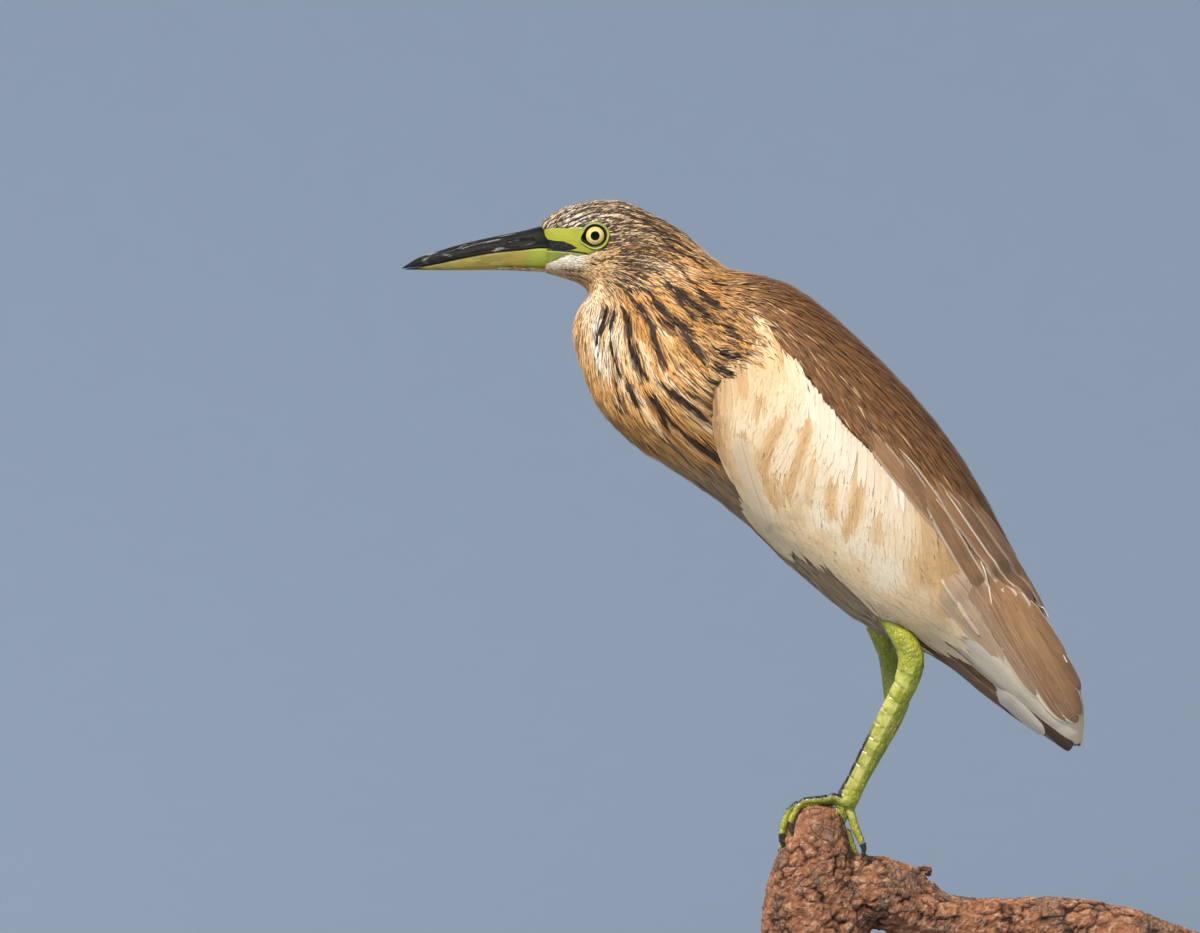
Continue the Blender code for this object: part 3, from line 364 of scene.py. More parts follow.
HEAD_STREAKS = (
    Streak(
        ((-97.6, 365.4), (-91.5, 359.3), (-85.3, 355.5), (-79.2, 352.4), (-73.8, 347.8), (-68.4, 343.9)),
        0.6,
    ),
    Streak(
        ((-93.0, 366.2), (-86.1, 362.4), (-80.7, 359.3), (-75.3, 353.9), (-70.0, 348.6), (-64.6, 344.7)),
        0.75,
    ),
    Streak(((-91.5, 358.5), (-86.1, 353.2), (-79.9, 349.3), (-74.6, 346.3), (-70.0, 343.2)), 0.6),
    Streak(((-86.9, 348.6), (-82.2, 343.2), (-77.6, 337.8), (-72.5, 335.0)), 0.6, 0.9),
    Streak(
        (
            (-140.6, 363.1), (-133.7, 367.4), (-126.0, 370.1), (-116.8, 372.0), (-108.4, 372.4),
            (-101.4, 370.9),
        ),
        0.5,
    ),
    Streak(
        (
            (-136.8, 363.5), (-129.9, 366.2), (-122.9, 369.7), (-115.3, 370.4), (-108.4, 370.4),
            (-102.2, 368.5),
        ),
        0.5,
    ),
    Streak(
        (
            (-132.2, 363.1), (-126.0, 365.5), (-120.6, 367.8), (-114.5, 368.1), (-108.4, 367.8),
            (-102.2, 366.2), (-97.6, 363.9), (-93.0, 360.8), (-86.9, 357.8),
        ),
        0.55,
    ),
    Streak(((-126.0, 363.9), (-121.4, 365.7), (-116.8, 365.8), (-110.7, 365.5), (-105.3, 363.5)), 0.45),
    Streak(((-112.5, 362.8), (-108.4, 362.8), (-103.8, 363.1), (-97.6, 362.4)), 0.5),
    Streak(((-112.4, 359.3), (-109.9, 359.7), (-105.3, 360.8), (-100.7, 361.6)), 0.45, 0.9),
    Streak(((-112.2, 357.0), (-108.4, 358.2), (-103.8, 359.3)), 0.4, 0.9),
    Streak(((-118.3, 350.9), (-113.7, 353.0), (-109.9, 354.7)), 0.4, 0.9),
    Streak(((-120.4, 348.6), (-116.8, 347.0), (-113.0, 348.2), (-108.4, 349.3)), 0.5, 0.75),
    Streak(((-121.4, 346.1), (-117.6, 344.9)), 0.75, 0.85),
    Streak(((-114.5, 347.0), (-108.4, 345.5), (-102.2, 341.7)), 0.6, 0.6),
    Streak(((-108.4, 352.4), (-99.1, 352.4), (-89.9, 350.1), (-86.1, 347.0)), 1.1, 0.4),
    Streak(((-112.0, 341.5), (-106.0, 337.8), (-101.0, 337.2)), 0.5, 0.7),
    Streak(((-134.0, 343.4), (-128.0, 342.5), (-122.5, 342.8)), 0.55, 0.7),
    Streak(((-131.0, 341.0), (-125.0, 339.6), (-120.5, 337.4)), 0.6, 0.6),
)

# Buff streaks of the wing coverts. The first, down the front rim, and the last, in the groove
# beside the lobe, are painted shade.
WING_STREAKS = (
    Streak(((-66.6, 291.7), (-67.9, 280.5), (-66.5, 268.5), (-63.2, 259.1)), 1.6, 0.9),
    Streak(((-48.1, 288.9), (-49.5, 277.7)), 1.7, 0.8),
    Streak(((-55.8, 273.5), (-58.6, 260.9)), 1.9, 0.8),
    Streak(((-37.6, 280.5), (-44.0, 269.0), (-47.4, 258.1), (-43.5, 248.9), (-40.4, 241.3)), 2.2, 0.8),
    Streak(((-27.8, 277.7), (-32.0, 260.9), (-36.2, 249.7), (-38.5, 242.7)), 2.0, 0.8),
    Streak(((-18.0, 252.5), (-18.7, 241.3), (-16.6, 235.7)), 2.1, 0.75),
    Streak(((-6.8, 249.7), (-8.2, 238.5), (-12.4, 228.7)), 2.4, 0.8),
    Streak(((-38.3, 309.0), (-36.9, 300.5)), 2.4, 0.8),
    Streak(((-57.0, 297.0), (-54.5, 288.0)), 1.6, 0.6),
    Streak(((3.0, 238.0), (0.5, 224.0)), 1.6, 0.5),
    Streak(((-25.5, 263.0), (-27.5, 250.0), (-28.0, 240.0)), 1.4, 0.4),
    # painted shade in the groove beside the lobe
    Streak(((-46.0, 262.0), (-46.6, 253.0), (-43.4, 245.0), (-40.4, 240.0)), 1.5, 0.9),
)


# ---------------------------------------------------------------- shading
def srgb(red: int, green: int, blue: int) -> Colour:
    """The linear colour of screen values from 0 to 255."""
    parts = (red / 255, green / 255, blue / 255)
    return (*(c / 12.92 if c <= 0.04045 else ((c + 0.055) / 1.055) ** 2.4 for c in parts), 1.0)


class Value:
    """An output socket of a material. Python's operators on it add Math nodes."""

    def __init__(self, paint: "Paint", socket: bpy.types.NodeSocket) -> None:
        """Keeps the socket and the material it belongs to."""
        self.paint = paint
        self.socket = socket

    def maths(self, operation: str, *terms: "Value | float") -> "Value":
        """Adds one Math node.

        Args:
            operation: The node's operation.
            terms: Its inputs, in order.

        Returns:
            The node's result.
        """
        return self.paint.node("ShaderNodeMath", {"operation": operation}, dict(enumerate(terms)))

    def __add__(self, other: "Value | float") -> "Value":
        """self + other"""
        return self.maths("ADD", self, other)

    __radd__ = __add__

    def __sub__(self, other: "Value | float") -> "Value":
        """self - other"""
        return self.maths("SUBTRACT", self, other)

    def __rsub__(self, other: "Value | float") -> "Value":
        """other - self"""
        return self.maths("SUBTRACT", other, self)

    def __mul__(self, other: "Value | float") -> "Value":
        """self * other"""
        return self.maths("MULTIPLY", self, other)

    __rmul__ = __mul__

    def __abs__(self) -> "Value":
        """The size of the value without its sign."""
        return self.maths("ABSOLUTE", self)

    def least(self, other: "Value | float") -> "Value":
        """The smaller of the two."""
        return self.maths("MINIMUM", self, other)

    def greatest(self, other: "Value | float") -> "Value":
        """The larger of the two."""
        return self.maths("MAXIMUM", self, other)

    def sine(self) -> "Value":
        """The sine of the value."""
        return self.maths("SINE", self)

    def rising(self, start: float, end: float) -> "Value":
        """A smooth step.

        Args:
            start: Where it leaves 0.
            end: Where it reaches 1. It may be the smaller one, for a falling step.

        Returns:
            The step, from 0 to 1.
        """
        settings = {"interpolation_type": "SMOOTHSTEP"}
        if start < end:
            return self.paint.node("ShaderNodeMapRange", settings, {"Value": self, 1: start, 2: end})
        return 1.0 - self.paint.node("ShaderNodeMapRange", settings, {"Value": self, 1: end, 2: start})


class Paint:
    """A material, its Principled shader and the nodes that feed it."""

    def __init__(self, name: str) -> None:
        """Makes an empty material of that name with one Principled shader."""
        self.material = bpy.data.materials.new(name)
        self.material.use_nodes = True
        self.tree = self.material.node_tree
        self.shader = self.tree.nodes["Principled BSDF"]

    def node(self, kind: str, settings: dict, inputs: dict, output: "str | int" = 0) -> Value:
        """Adds a node of any kind.

        Args:
            kind: The node's type name.
            settings: Its properties, with "stops" for those of a colour ramp.
            inputs: Links or numbers, by socket name or number.
            output: Which output to hand back.

        Returns:
            That output.
        """
        made = self.tree.nodes.new(kind)
        for key, value in settings.items():
            if key == "stops":
                self.set_stops(made.color_ramp, value)
            else:
                setattr(made, key, value)
        for key, value in inputs.items():
            if isinstance(value, Value):
                self.tree.links.new(value.socket, made.inputs[key])
            else:
                made.inputs[key].default_value = value
        return Value(self, made.outputs[output])

    @staticmethod
    def set_stops(ramp: bpy.types.ColorRamp, stops: tuple) -> None:
        """Gives a ramp its (place, colour) stops."""
        while len(ramp.elements) > 1:
            ramp.elements.remove(ramp.elements[-1])
        ramp.elements[0].position, ramp.elements[0].color = stops[0]
        for place, colour in stops[1:]:
            ramp.elements.new(place).color = colour

    def attribute(self, name: str) -> Value:
        """A number that the mesh carries at its points."""
        return self.node("ShaderNodeAttribute", {"attribute_name": name}, {}, "Fac")

    def attributes(self, *names: str) -> list[Value]:
        """Several such numbers."""
        return [self.attribute(name) for name in names]

    def coordinates(self) -> Value:
        """Object coordinates, in metres."""
        return self.node("ShaderNodeTexCoord", {}, {}, "Object")

    def parts(self, vector: Value) -> tuple[Value, Value, Value]:
        """The three numbers of a vector."""
        first = self.node("ShaderNodeSeparateXYZ", {}, {0: vector})
        outputs = first.socket.node.outputs
        return tuple(Value(self, outputs[k]) for k in range(3))

    def stretched(self, vector: Value, by: Point, turn: Point = (0.0, 0.0, 0.0)) -> Value:
        """A vector turned, in radians, then scaled along each axis."""
        inputs = {"Vector": vector, "Rotation": turn}
        turned = self.node("ShaderNodeMapping", {"vector_type": "POINT"}, inputs)
        return self.node("ShaderNodeVectorMath", {"operation": "MULTIPLY"}, {0: turned, 1: by})

    def noise(self, vector: Value, scale: float, detail: float = 3.0, rough: float = 0.5) -> Value:
        """Smooth noise around 0.5. The scale is per metre."""
        inputs = {"Vector": vector, "Scale": scale, "Detail": detail, "Roughness": rough}
        return self.node("ShaderNodeTexNoise", {}, inputs)

    def warped(self, vector: Value, scale: float, amount: float) -> Value:
        """A vector pushed about by noise."""
        inputs = {"Vector": vector, "Scale": scale, "Detail": 3.0}
        push = self.node("ShaderNodeTexNoise", {}, inputs, "Color")
        spread = self.node("ShaderNodeVectorMath", {"operation": "SCALE"}, {0: push, "Scale": amount})
        return self.node("ShaderNodeVectorMath", {"operation": "ADD"}, {0: vector, 1: spread})

    def cells(self, vector: Value, scale: float) -> Value:
        """The distance to the nearest border between Voronoi cells."""
        settings = {"feature": "DISTANCE_TO_EDGE"}
        return self.node("ShaderNodeTexVoronoi", settings, {"Vector": vector, "Scale": scale})

    def mix(self, share: "Value | float", under: "Value | Colour", over: "Value | Colour") -> Value:
        """A colour mixed from two.

        Args:
            share: How much of the second one.
            under: The first colour.
            over: The second colour.

        Returns:
            The mixed colour.
        """
        return self.node("ShaderNodeMix", {"data_type": "RGBA"}, {0: share, 6: under, 7: over}, 2)

    def shaded(self, colour: Value, by: Value) -> Value:
        """A colour made lighter or darker by a factor."""
        return self.node("ShaderNodeVectorMath", {"operation": "SCALE"}, {0: colour, "Scale": by})

    def ramp(self, at: Value, *stops: tuple[float, Colour]) -> Value:
        """A colour read from a ramp."""
        return self.node("ShaderNodeValToRGB", {"stops": stops}, {0: at})

    def bump(self, height: Value, distance: float, strength: float = 1.0) -> Value:
        """A normal from a height whose full range is that many metres."""
        inputs = {"Height": height, "Distance": distance, "Strength": strength}
        return self.node("ShaderNodeBump", {}, inputs, "Normal")

    def finish(self, **sockets: "Value | float | Colour") -> bpy.types.Material:
        """Feeds the shader.

        Args:
            sockets: Links or constants by socket name, with _ for a space.

        Returns:
            The material.
        """
        for key, value in sockets.items():
            socket = self.shader.inputs[key.replace("_", " ")]
            if isinstance(value, Value):
                self.tree.links.new(value.socket, socket)
            else:
                socket.default_value = value
        return self.material


@dataclass(frozen=True)
class PlumageFinish:
    """Feathers, whose colour follows the marks that skin and coat both carry."""

    name: str = "plumage"
    white: Colour = srgb(250, 241, 226)
    cream: Colour = srgb(242, 212, 168)
    buff: Colour = srgb(224, 163, 86)
    orange: Colour = srgb(204, 142, 80)
    umber_pale: Colour = srgb(188, 146, 102)
    umber: Colour = srgb(122, 85, 55)
    umber_rust: Colour = srgb(148, 101, 62)
    umber_dark: Colour = srgb(74, 51, 37)
    streak: Colour = srgb(52, 38, 29)
    roughness: float = 0.62

    def ground(self, p: Paint, warm: Value) -> Value:
        """The colour between the brown and dark marks, from white to orange buff."""
        return p.ramp(warm, (0.0, self.white), (0.35, self.cream), (0.72, self.buff), (1.0, self.orange))

    def make(self) -> bpy.types.Material:
        """The material, which reads the attributes warm, umber, dark, vary and along."""
        p = Paint(self.name)
        warm, umber, dark, vary, along = p.attributes("warm", "umber", "dark", "vary", "along")
        ground = self.ground(p, warm)
        dull = ((0.0, self.umber_dark), (0.35, self.umber))
        lively = ((0.62, self.umber_rust), (0.8, self.umber), (1.0, self.umber_pale))
        brown = p.ramp(vary, *dull, *lively)
        colour = p.mix(umber.least(1.0), ground, brown)
        colour = p.mix(dark.least(1.0), colour, self.streak)
        grain = p.noise(p.coordinates(), 900.0, 2.0)
        # darker towards each feather's root: painted shade where it lies under the feathers over it; vary and
        # grain give each feather and place its own tone
        light = 0.86 + along * 0.12 + (vary - 0.5) * 0.08 + (grain - 0.5) * 0.10
        return p.finish(
            Base_Color=p.shaded(colour, light),
            Roughness=self.roughness,
            Specular_IOR_Level=0.18,
            Sheen_Weight=0.05,
            Normal=p.bump(grain, 0.0002, 0.5),
        )


@dataclass(frozen=True)
class QuillFinish:
    """Large feathers with a shaft, fine barbs and a pale margin."""

    name: str = "quill"
    white: Colour = srgb(246, 240, 230)
    cream: Colour = srgb(236, 210, 172)
    brown: Colour = srgb(202, 152, 104)
    brown_dark: Colour = srgb(146, 102, 66)
    umber: Colour = srgb(148, 106, 70)
    umber_dark: Colour = srgb(100, 70, 47)
    margin: Colour = srgb(250, 230, 200)
    dusk_and_shade: Colour = srgb(72, 58, 50)
    roughness: float = 0.5

    def make(self) -> bpy.types.Material:
        """The material, which reads warm, umber, dark, vary, along, across and pale."""
        p = Paint(self.name)
        warm, umber, dark, vary = p.attributes("warm", "umber", "dark", "vary")
        along, across, pale = p.attributes("along", "across", "pale")
        barbs = ((along * 6.0 - abs(across) * 0.8) * 260.0).sine()
        blade = p.node("ShaderNodeCombineXYZ", {}, {0: across, 1: along * 0.55, 2: vary * 9.0})
        hairs = p.noise(blade, 9.0, 4.0, 0.7)
        strands = p.noise(p.stretched(blade, (1.0, 0.4, 1.0)), 22.0, 3.0, 0.6)
        grain = p.noise(p.coordinates(), 420.0, 3.0)
        ground = p.mix(warm, self.white, self.cream)
        tone = p.mix((warm * 2.0).least(1.0), self.umber, self.brown)
        deep = p.mix((warm * 2.0).least(1.0), self.umber_dark, self.brown_dark)
        brown = p.mix((hairs * 0.7 + strands * 0.5 + vary * 0.2).rising(0.45, 0.95), tone, deep)
        colour = p.mix((umber + (strands - 0.5) * 0.8 * umber).least(1.0), ground, brown)
        # the dusk colour is the quills' own dark pigment, and on the last tail quills also painted shade
        colour = p.mix(dark, colour, self.dusk_and_shade)
        edge = abs(across).rising(0.68, 0.88) * pale
        colour = p.mix(edge * (0.7 + strands * 0.4).least(1.0), colour, self.margin)
        shaft = abs(across + 0.25).rising(0.05, 0.02) * along.rising(1.0, 0.8)
        colour = p.mix(shaft * 0.35, colour, self.brown_dark)
        light = 0.93 + barbs * 0.04 + (strands - 0.5) * 0.16 + (grain - 0.5) * 0.10
        return p.finish(
            Base_Color=p.shaded(colour, light),
            Roughness=self.roughness,
            Specular_IOR_Level=0.3,
            Normal=p.bump(barbs * 0.3 + grain + strands, 0.00015, 0.5),
        )


@dataclass(frozen=True)
class FaceFinish:
    """The skin of the head and body, with bare lores and a dark band along the gape."""

    plumage: PlumageFinish = field(default_factory=PlumageFinish)
    yellow: Colour = srgb(160, 160, 38)
    green: Colour = srgb(134, 140, 56)
    black: Colour = srgb(15, 15, 17)

    def make(self) -> bpy.types.Material:
        """The material, which reads the plumage marks and bare, band and green."""
        p = Paint("skin")
        warm, umber, dark = p.attributes("warm", "umber", "dark")
        bare, band, green = p.attributes("bare", "band", "green")
        look = self.plumage
        ground = look.ground(p, warm)
        colour = p.mix(umber.least(1.0), ground, look.umber)
        colour = p.mix(dark.least(1.0), colour, look.streak)
        grain = p.noise(p.coordinates(), 700.0, 3.0)
        mottle = p.noise(p.coordinates(), 260.0, 2.0)
        bald = p.mix((green + 0.15 + (mottle - 0.5) * 1.7).rising(0.3, 0.9), self.yellow, self.green)
        pores = p.cells(p.coordinates(), 1500.0)
        bald = p.shaded(bald, 0.66 + mottle * 0.44 + pores.rising(0.0, 0.25) * 0.1)
        # the feathered skin is darkened as painted shade, as it shows only in the gaps between the feathers;
        # grain varies it
        colour = p.mix(bare, p.shaded(colour, 0.80 + grain * 0.2), bald)
        colour = p.mix((band + (mottle - 0.5) * 0.9).rising(0.35, 0.6), colour, self.black)
        return p.finish(
            Base_Color=colour,
            Roughness=0.68 - bare * 0.22,
            Specular_IOR_Level=0.35,
            Normal=p.bump(pores.rising(0.0, 0.3) * bare + grain, 0.0002, 0.5),
        )


@dataclass(frozen=True)
class BillFinish:
    """Horn of one half of the bill."""

    name: str
    base: Colour
    second: Colour
    tip: Colour
    scratch: Colour
    edge: Colour
    tip_from: float
    tip_to: float
    scratches: float
    edge_share: float
    root: Colour = srgb(15, 15, 18)
    root_from: float = -154.0
    root_to: float = -142.0

    def make(self) -> bpy.types.Material:
        """The material, which reads the attribute edge."""
        p = Paint(self.name)
        where = p.coordinates()
        x = p.parts(where)[0]
        streaky = p.noise(p.stretched(where, (0.10, 1.0, 0.55), (0.0, 0.16, 0.0)), 900.0, 4.0, 0.65)
        clouds = p.noise(p.stretched(where, (0.45, 1.0, 1.0)), 240.0, 2.0)
        colour = p.mix(clouds.rising(0.35, 0.65), self.base, self.second)
        colour = p.mix(streaky.rising(0.55, 0.68) * self.scratches, colour, self.scratch)
        root = (x + (clouds - 0.5) * 0.008).rising(self.root_from * MM, self.root_to * MM)
        colour = p.mix(root, colour, self.root)
        colour = p.mix(p.attribute("edge") * self.edge_share, colour, self.edge)
        tip = (x + (streaky - 0.5) * 0.006).rising(self.tip_from * MM, self.tip_to * MM)
        colour = p.mix(tip, colour, self.tip)
        return p.finish(
            Base_Color=p.shaded(colour, 0.9 + clouds * 0.2),
            Roughness=0.42 + streaky * 0.25,
            Specular_IOR_Level=0.10,
            Normal=p.bump(streaky, 0.0003, 0.6),
        )


@dataclass(frozen=True)
class EyeFinish:
    """The globe of the eye: pupil, iris with a dark rim, and the white hidden under the lids."""

    pupil_radius: float = 1.95
    iris_radius: float = 3.9
    yellow: Colour = srgb(208, 178, 88)
    pale: Colour = srgb(220, 206, 152)
    ochre: Colour = srgb(168, 140, 66)
    black: Colour = srgb(8, 8, 9)

    def make(self) -> bpy.types.Material:
        """The material, which reads the attribute ring, the distance from the eye's axis in mm."""
        p = Paint("eye")
        ring = p.attribute("ring")
        fibres = p.noise(p.coordinates(), 1600.0, 3.0)
        share = (ring - self.pupil_radius) * (1.0 / (self.iris_radius - self.pupil_radius))
        inner = ((0.0, self.ochre), (0.16, self.pale), (0.6, self.yellow))
        outer = ((0.92, self.yellow), (1.0, self.ochre))
        iris = p.ramp(share + (fibres - 0.5) * 0.25, *inner, *outer)
        colour = p.mix(ring.rising(self.pupil_radius - 0.08, self.pupil_radius + 0.08), self.black, iris)
        colour = p.mix(ring.rising(self.iris_radius - 0.1, self.iris_radius + 0.1), colour, self.black)
        return p.finish(
            Base_Color=colour,
            Roughness=0.1,
            Coat_Weight=0.12,
            Coat_Roughness=0.02,
            Specular_IOR_Level=0.05,
        )


@dataclass(frozen=True)
class LidFinish:
    """The bare ring round the eye, black at its inner rim."""

    yellow: Colour = srgb(152, 158, 52)
    green: Colour = srgb(128, 138, 62)
    black: Colour = srgb(16, 16, 16)

    def make(self) -> bpy.types.Material:
        """The material, which reads the attributes rim and high."""
        p = Paint("eyelid")
        rim, high = p.attributes("rim", "high")
        mottle = p.noise(p.coordinates(), 600.0, 2.0)
        skin = p.mix((high + (mottle - 0.5) * 0.4).rising(0.55, 1.0), self.yellow, self.green)
        colour = p.mix(rim.rising(0.55, 0.70), p.shaded(skin, 0.85 + mottle * 0.25), self.black)
        return p.finish(Base_Color=colour, Roughness=0.42, Normal=p.bump(mottle, 0.0002, 0.5))


@dataclass(frozen=True)
class LegFinish:
    """Scaly skin of the legs: yellow green, with paler shields in front that are partly a painted
    highlight, and blackish on the lower front and the toes, partly dusky skin and partly painted shade.
    """

    green: Colour = srgb(140, 144, 34)
    yellow: Colour = srgb(178, 174, 54)
    shield: Colour = srgb(206, 200, 118)
    dusk_and_shade: Colour = srgb(28, 26, 22)
    furrow: Colour = srgb(96, 98, 30)

    def make(self) -> bpy.types.Material:
        """The material, which reads the attributes groove, shield and the dark, which is partly dusky skin
        and partly painted shade.
        """
        p = Paint("leg_skin")
        groove, shield, soot = p.attributes("groove", "shield", "soot")
        where = p.coordinates()
        net = p.cells(p.stretched(where, (1.0, 1.0, 0.62)), 620.0)
        mottle = p.noise(where, 180.0, 3.0)
        colour = p.mix(mottle.rising(0.35, 0.65), self.green, self.yellow)
        lines = net.rising(0.14, 0.02) * (1.0 - shield * 0.9)
        # the paler shield colour is partly the scutes' own tone and partly a painted highlight on the front
        # of the tarsus
        colour = p.mix(shield * mottle.rising(0.3, 0.55) * 0.65, colour, self.shield)
        colour = p.mix((lines * 0.4).greatest(groove * 0.55), colour, self.furrow)
        # blackish on the lower front of the shaft and the tops of the toes: partly dusky skin, partly painted
        # shade
        colour = p.mix((soot * (1.0 + (mottle - 0.5) * 0.8)).least(1.0), colour, self.dusk_and_shade)
        relief = net.rising(0.0, 0.22) * (1.0 - shield * 0.8) - groove
        return p.finish(
            Base_Color=colour,
            Roughness=0.36 - shield * 0.1 + lines * 0.2,
            Specular_IOR_Level=0.5,
            Normal=p.bump(relief, 0.0003, 0.6),
        )


@dataclass(frozen=True)
class ClawFinish:
    """Dark horn of the claws."""

    dark: Colour = srgb(38, 34, 30)
    light: Colour = srgb(92, 80, 62)

    def make(self) -> bpy.types.Material:
        """The material."""
        p = Paint("claw_horn")
        streaks = p.noise(p.coordinates(), 900.0, 3.0)
        return p.finish(
            Base_Color=p.mix(streaks.rising(0.4, 0.75), self.dark, self.light),
            Roughness=0.3 + streaks * 0.2,
            Normal=p.bump(streaks, 0.0001, 0.4),
        )


@dataclass(frozen=True)
class BarkFinish:
    """Rough bark in scales, with dark fissures and a little grey lichen."""

    red: Colour = srgb(168, 112, 80)
    tan: Colour = srgb(206, 160, 126)
    grey: Colour = srgb(136, 110, 92)
    fissure: Colour = srgb(50, 34, 29)

    def make(self) -> bpy.types.Material:
        """The material, which reads the attributes crack and scale."""
        p = Paint("bark")
        where = p.coordinates()
        crack, scale = p.attributes("crack", "scale")
        fine = p.noise(where, 700.0, 5.0, 0.65)
        broad = p.noise(where, 70.0, 3.0)
        flakes = p.cells(p.warped(where, 160.0, 0.006), 260.0)
        colour = p.mix((scale + (fine - 0.5) * 0.9).rising(0.25, 0.85), self.red, self.tan)
        colour = p.mix(broad.rising(0.46, 0.64) * 0.7, colour, self.grey)
        gaps = (crack * 1.25).greatest(flakes.rising(0.10, 0.0) * broad.rising(0.40, 0.55) * 0.8)
        colour = p.mix(gaps.least(1.0), colour, self.fissure)
        return p.finish(
            Base_Color=p.shaded(colour, 0.62 + fine * 0.7),
            Roughness=0.86,
            Specular_IOR_Level=0.2,
            Normal=p.bump(fine + broad + flakes.rising(0.0, 0.2) * 0.3, 0.0009, 0.9),
        )


@dataclass(frozen=True)
class WoodFinish:
    """Dark polished wood of the display board."""

    dark: Colour = srgb(58, 36, 24)
    light: Colour = srgb(86, 55, 36)

    def make(self) -> bpy.types.Material:
        """The material."""
        p = Paint("stand_wood")
        where = p.coordinates()
        drift = p.noise(p.stretched(where, (1.0, 22.0, 22.0)), 3.0, 1.0, 0.4)
        pores = p.noise(p.stretched(where, (14.0, 260.0, 260.0)), 8.0, 3.0, 0.6)
        rings = (drift * 34.0).sine() * 0.5 + 0.5
        colour = p.mix((rings * 0.7 + pores * 0.5).rising(0.2, 1.0), self.dark, self.light)
        return p.finish(
            Base_Color=colour,
            Roughness=0.30 + pores * 0.25,
            Coat_Weight=0.3,
            Normal=p.bump(pores, 0.0002, 0.3),
        )


@dataclass(frozen=True)
class SteelFinish:
    """Brushed steel of the rods."""

    steel: Colour = srgb(150, 150, 152)

    def make(self) -> bpy.types.Material:
        """The material."""
        p = Paint("stand_steel")
        brushed = p.noise(p.stretched(p.coordinates(), (40.0, 40.0, 600.0)), 10.0, 3.0)
        return p.finish(
            Base_Color=p.shaded(p.mix(0.0, self.steel, self.steel), 0.85 + brushed * 0.3),
            Metallic=1.0,
            Roughness=0.28 + brushed * 0.2,
        )


@dataclass(frozen=True)
class BackdropFinish:
    """Pale paper sweep, seen from inside only, so that a view from any side looks past it."""

    paper: Colour = srgb(134, 150, 170)

    def make(self) -> bpy.types.Material:
        """The material."""
        p = Paint("backdrop_paper")
        fibre = p.noise(p.coordinates(), 40.0, 3.0)
        paper = p.shaded(p.mix(0.0, self.paper, self.paper), 0.98 + fibre * 0.04)
        material = p.finish(Base_Color=paper, Roughness=0.9)
        outside = p.node("ShaderNodeNewGeometry", {}, {}, "Backfacing")
        clear = p.node("ShaderNodeBsdfTransparent", {}, {})
        shown = p.node("ShaderNodeMixShader", {}, {0: outside, 1: Value(p, p.shader.outputs[0]), 2: clear})
        target = next(n for n in p.tree.nodes if n.type == "OUTPUT_MATERIAL")
        p.tree.links.new(shown.socket, target.inputs["Surface"])
        return material


# ---------------------------------------------------------------- meshes
def unit(vectors: Array) -> Array:
    """Vectors of length one."""
    return vectors / np.maximum(np.linalg.norm(vectors, axis=-1, keepdims=True), 1e-9)


def smooth_step(values: Array, start: float, end: float) -> Array:
    """A smooth step from 0 at start to 1 at end, which may be the smaller one."""
    share = np.clip((values - start) / (end - start), 0.0, 1.0)
    return share * share * (3.0 - 2.0 * share)


def through(rows: Array, count: int) -> Array:
    """Evenly parted points on the Catmull-Rom curve through rows of numbers.

    Args:
        rows: The values at the knots.
        count: How many points to make.

    Returns:
        That many rows.
    """
    rows = np.asarray(rows, float)
    padded = np.vstack([2 * rows[0] - rows[1], rows, 2 * rows[-1] - rows[-2]])
    at = np.linspace(0.0, len(rows) - 1.0, count)
    k = np.minimum(at.astype(int), len(rows) - 2)
    t = (at - k)[:, None]
    p0, p1, p2, p3 = (padded[k + j] for j in range(4))
    squared, cubed = 2 * p0 - 5 * p1 + 4 * p2 - p3, 3 * p1 - p0 - 3 * p2 + p3
    return 0.5 * (2 * p1 + (p2 - p0) * t + squared * t**2 + cubed * t**3)


def make_piece(
    name: str,
    points: Array,
    faces: Array,
    material: bpy.types.Material,
    crease: float | None = None,
) -> bpy.types.Object:
    """A smooth mesh object that rides on the part's body.

    Args:
        name: The piece's name.
        points: Its points, in millimetres.
        faces: Its faces, all with as many corners as the array is wide.
        material: Its finish.
        crease: The angle in degrees past which two faces meet in a sharp edge.

    Returns:
        The object.
    """
    mesh = bpy.data.meshes.new(name)
    faces = np.asarray(faces, np.int32)
    corners = faces.shape[1]
    mesh.vertices.add(len(points))
    mesh.vertices.foreach_set("co", (np.asarray(points, float) * MM).astype(np.float32).ravel())
    mesh.loops.add(faces.size)
    mesh.loops.foreach_set("vertex_index", faces.ravel())
    mesh.polygons.add(len(faces))
    mesh.polygons.foreach_set("loop_start", np.arange(0, faces.size, corners, dtype=np.int32))
    mesh.update(calc_edges=True)
    mesh.polygons.foreach_set("use_smooth", np.ones(len(faces), bool))
    if crease is not None:
        mesh.set_sharp_from_angle(angle=math.radians(crease))
    mesh.materials.append(material)
    made = bpy.data.objects.new(name, mesh)
    bpy.context.scene.collection.objects.link(made)
    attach(made, "root")
    LOG.info("%s: %d faces", name, len(faces))
    return made


def carry(piece: bpy.types.Object, **marks: Array) -> None:
    """Stores numbers at a piece's points, for its material to read."""
    for name, values in marks.items():
        layer = piece.data.attributes.new(name, "FLOAT", "POINT")
        layer.data.foreach_set("value", np.asarray(values, np.float32))


def lay_map(piece: bpy.types.Object, places: Array) -> None:
    """Gives a piece its bake map.

    Args:
        piece: The object.
        places: One (u, v) for each corner of each face, in order.
    """
    layer = piece.data.uv_layers.new(name=BAKE_MAP)
    layer.data.foreach_set("uv", np.asarray(places, np.float32).ravel())


def ring_faces(rings: int, around: int) -> Array:
    """The quads between neighbouring closed rings of points, as pairs of triangles.

    Args:
        rings: How many rings there are.
        around: How many points each has.

    Returns:
        The triangles.
    """
    ring, k = np.meshgrid(np.arange(rings - 1), np.arange(around), indexing="ij")
    a = (ring * around + k).ravel()
    b = (ring * around + (k + 1) % around).ravel()
    return np.concatenate([np.stack([a, b, b + around], 1), np.stack([a, b + around, a + around], 1)])


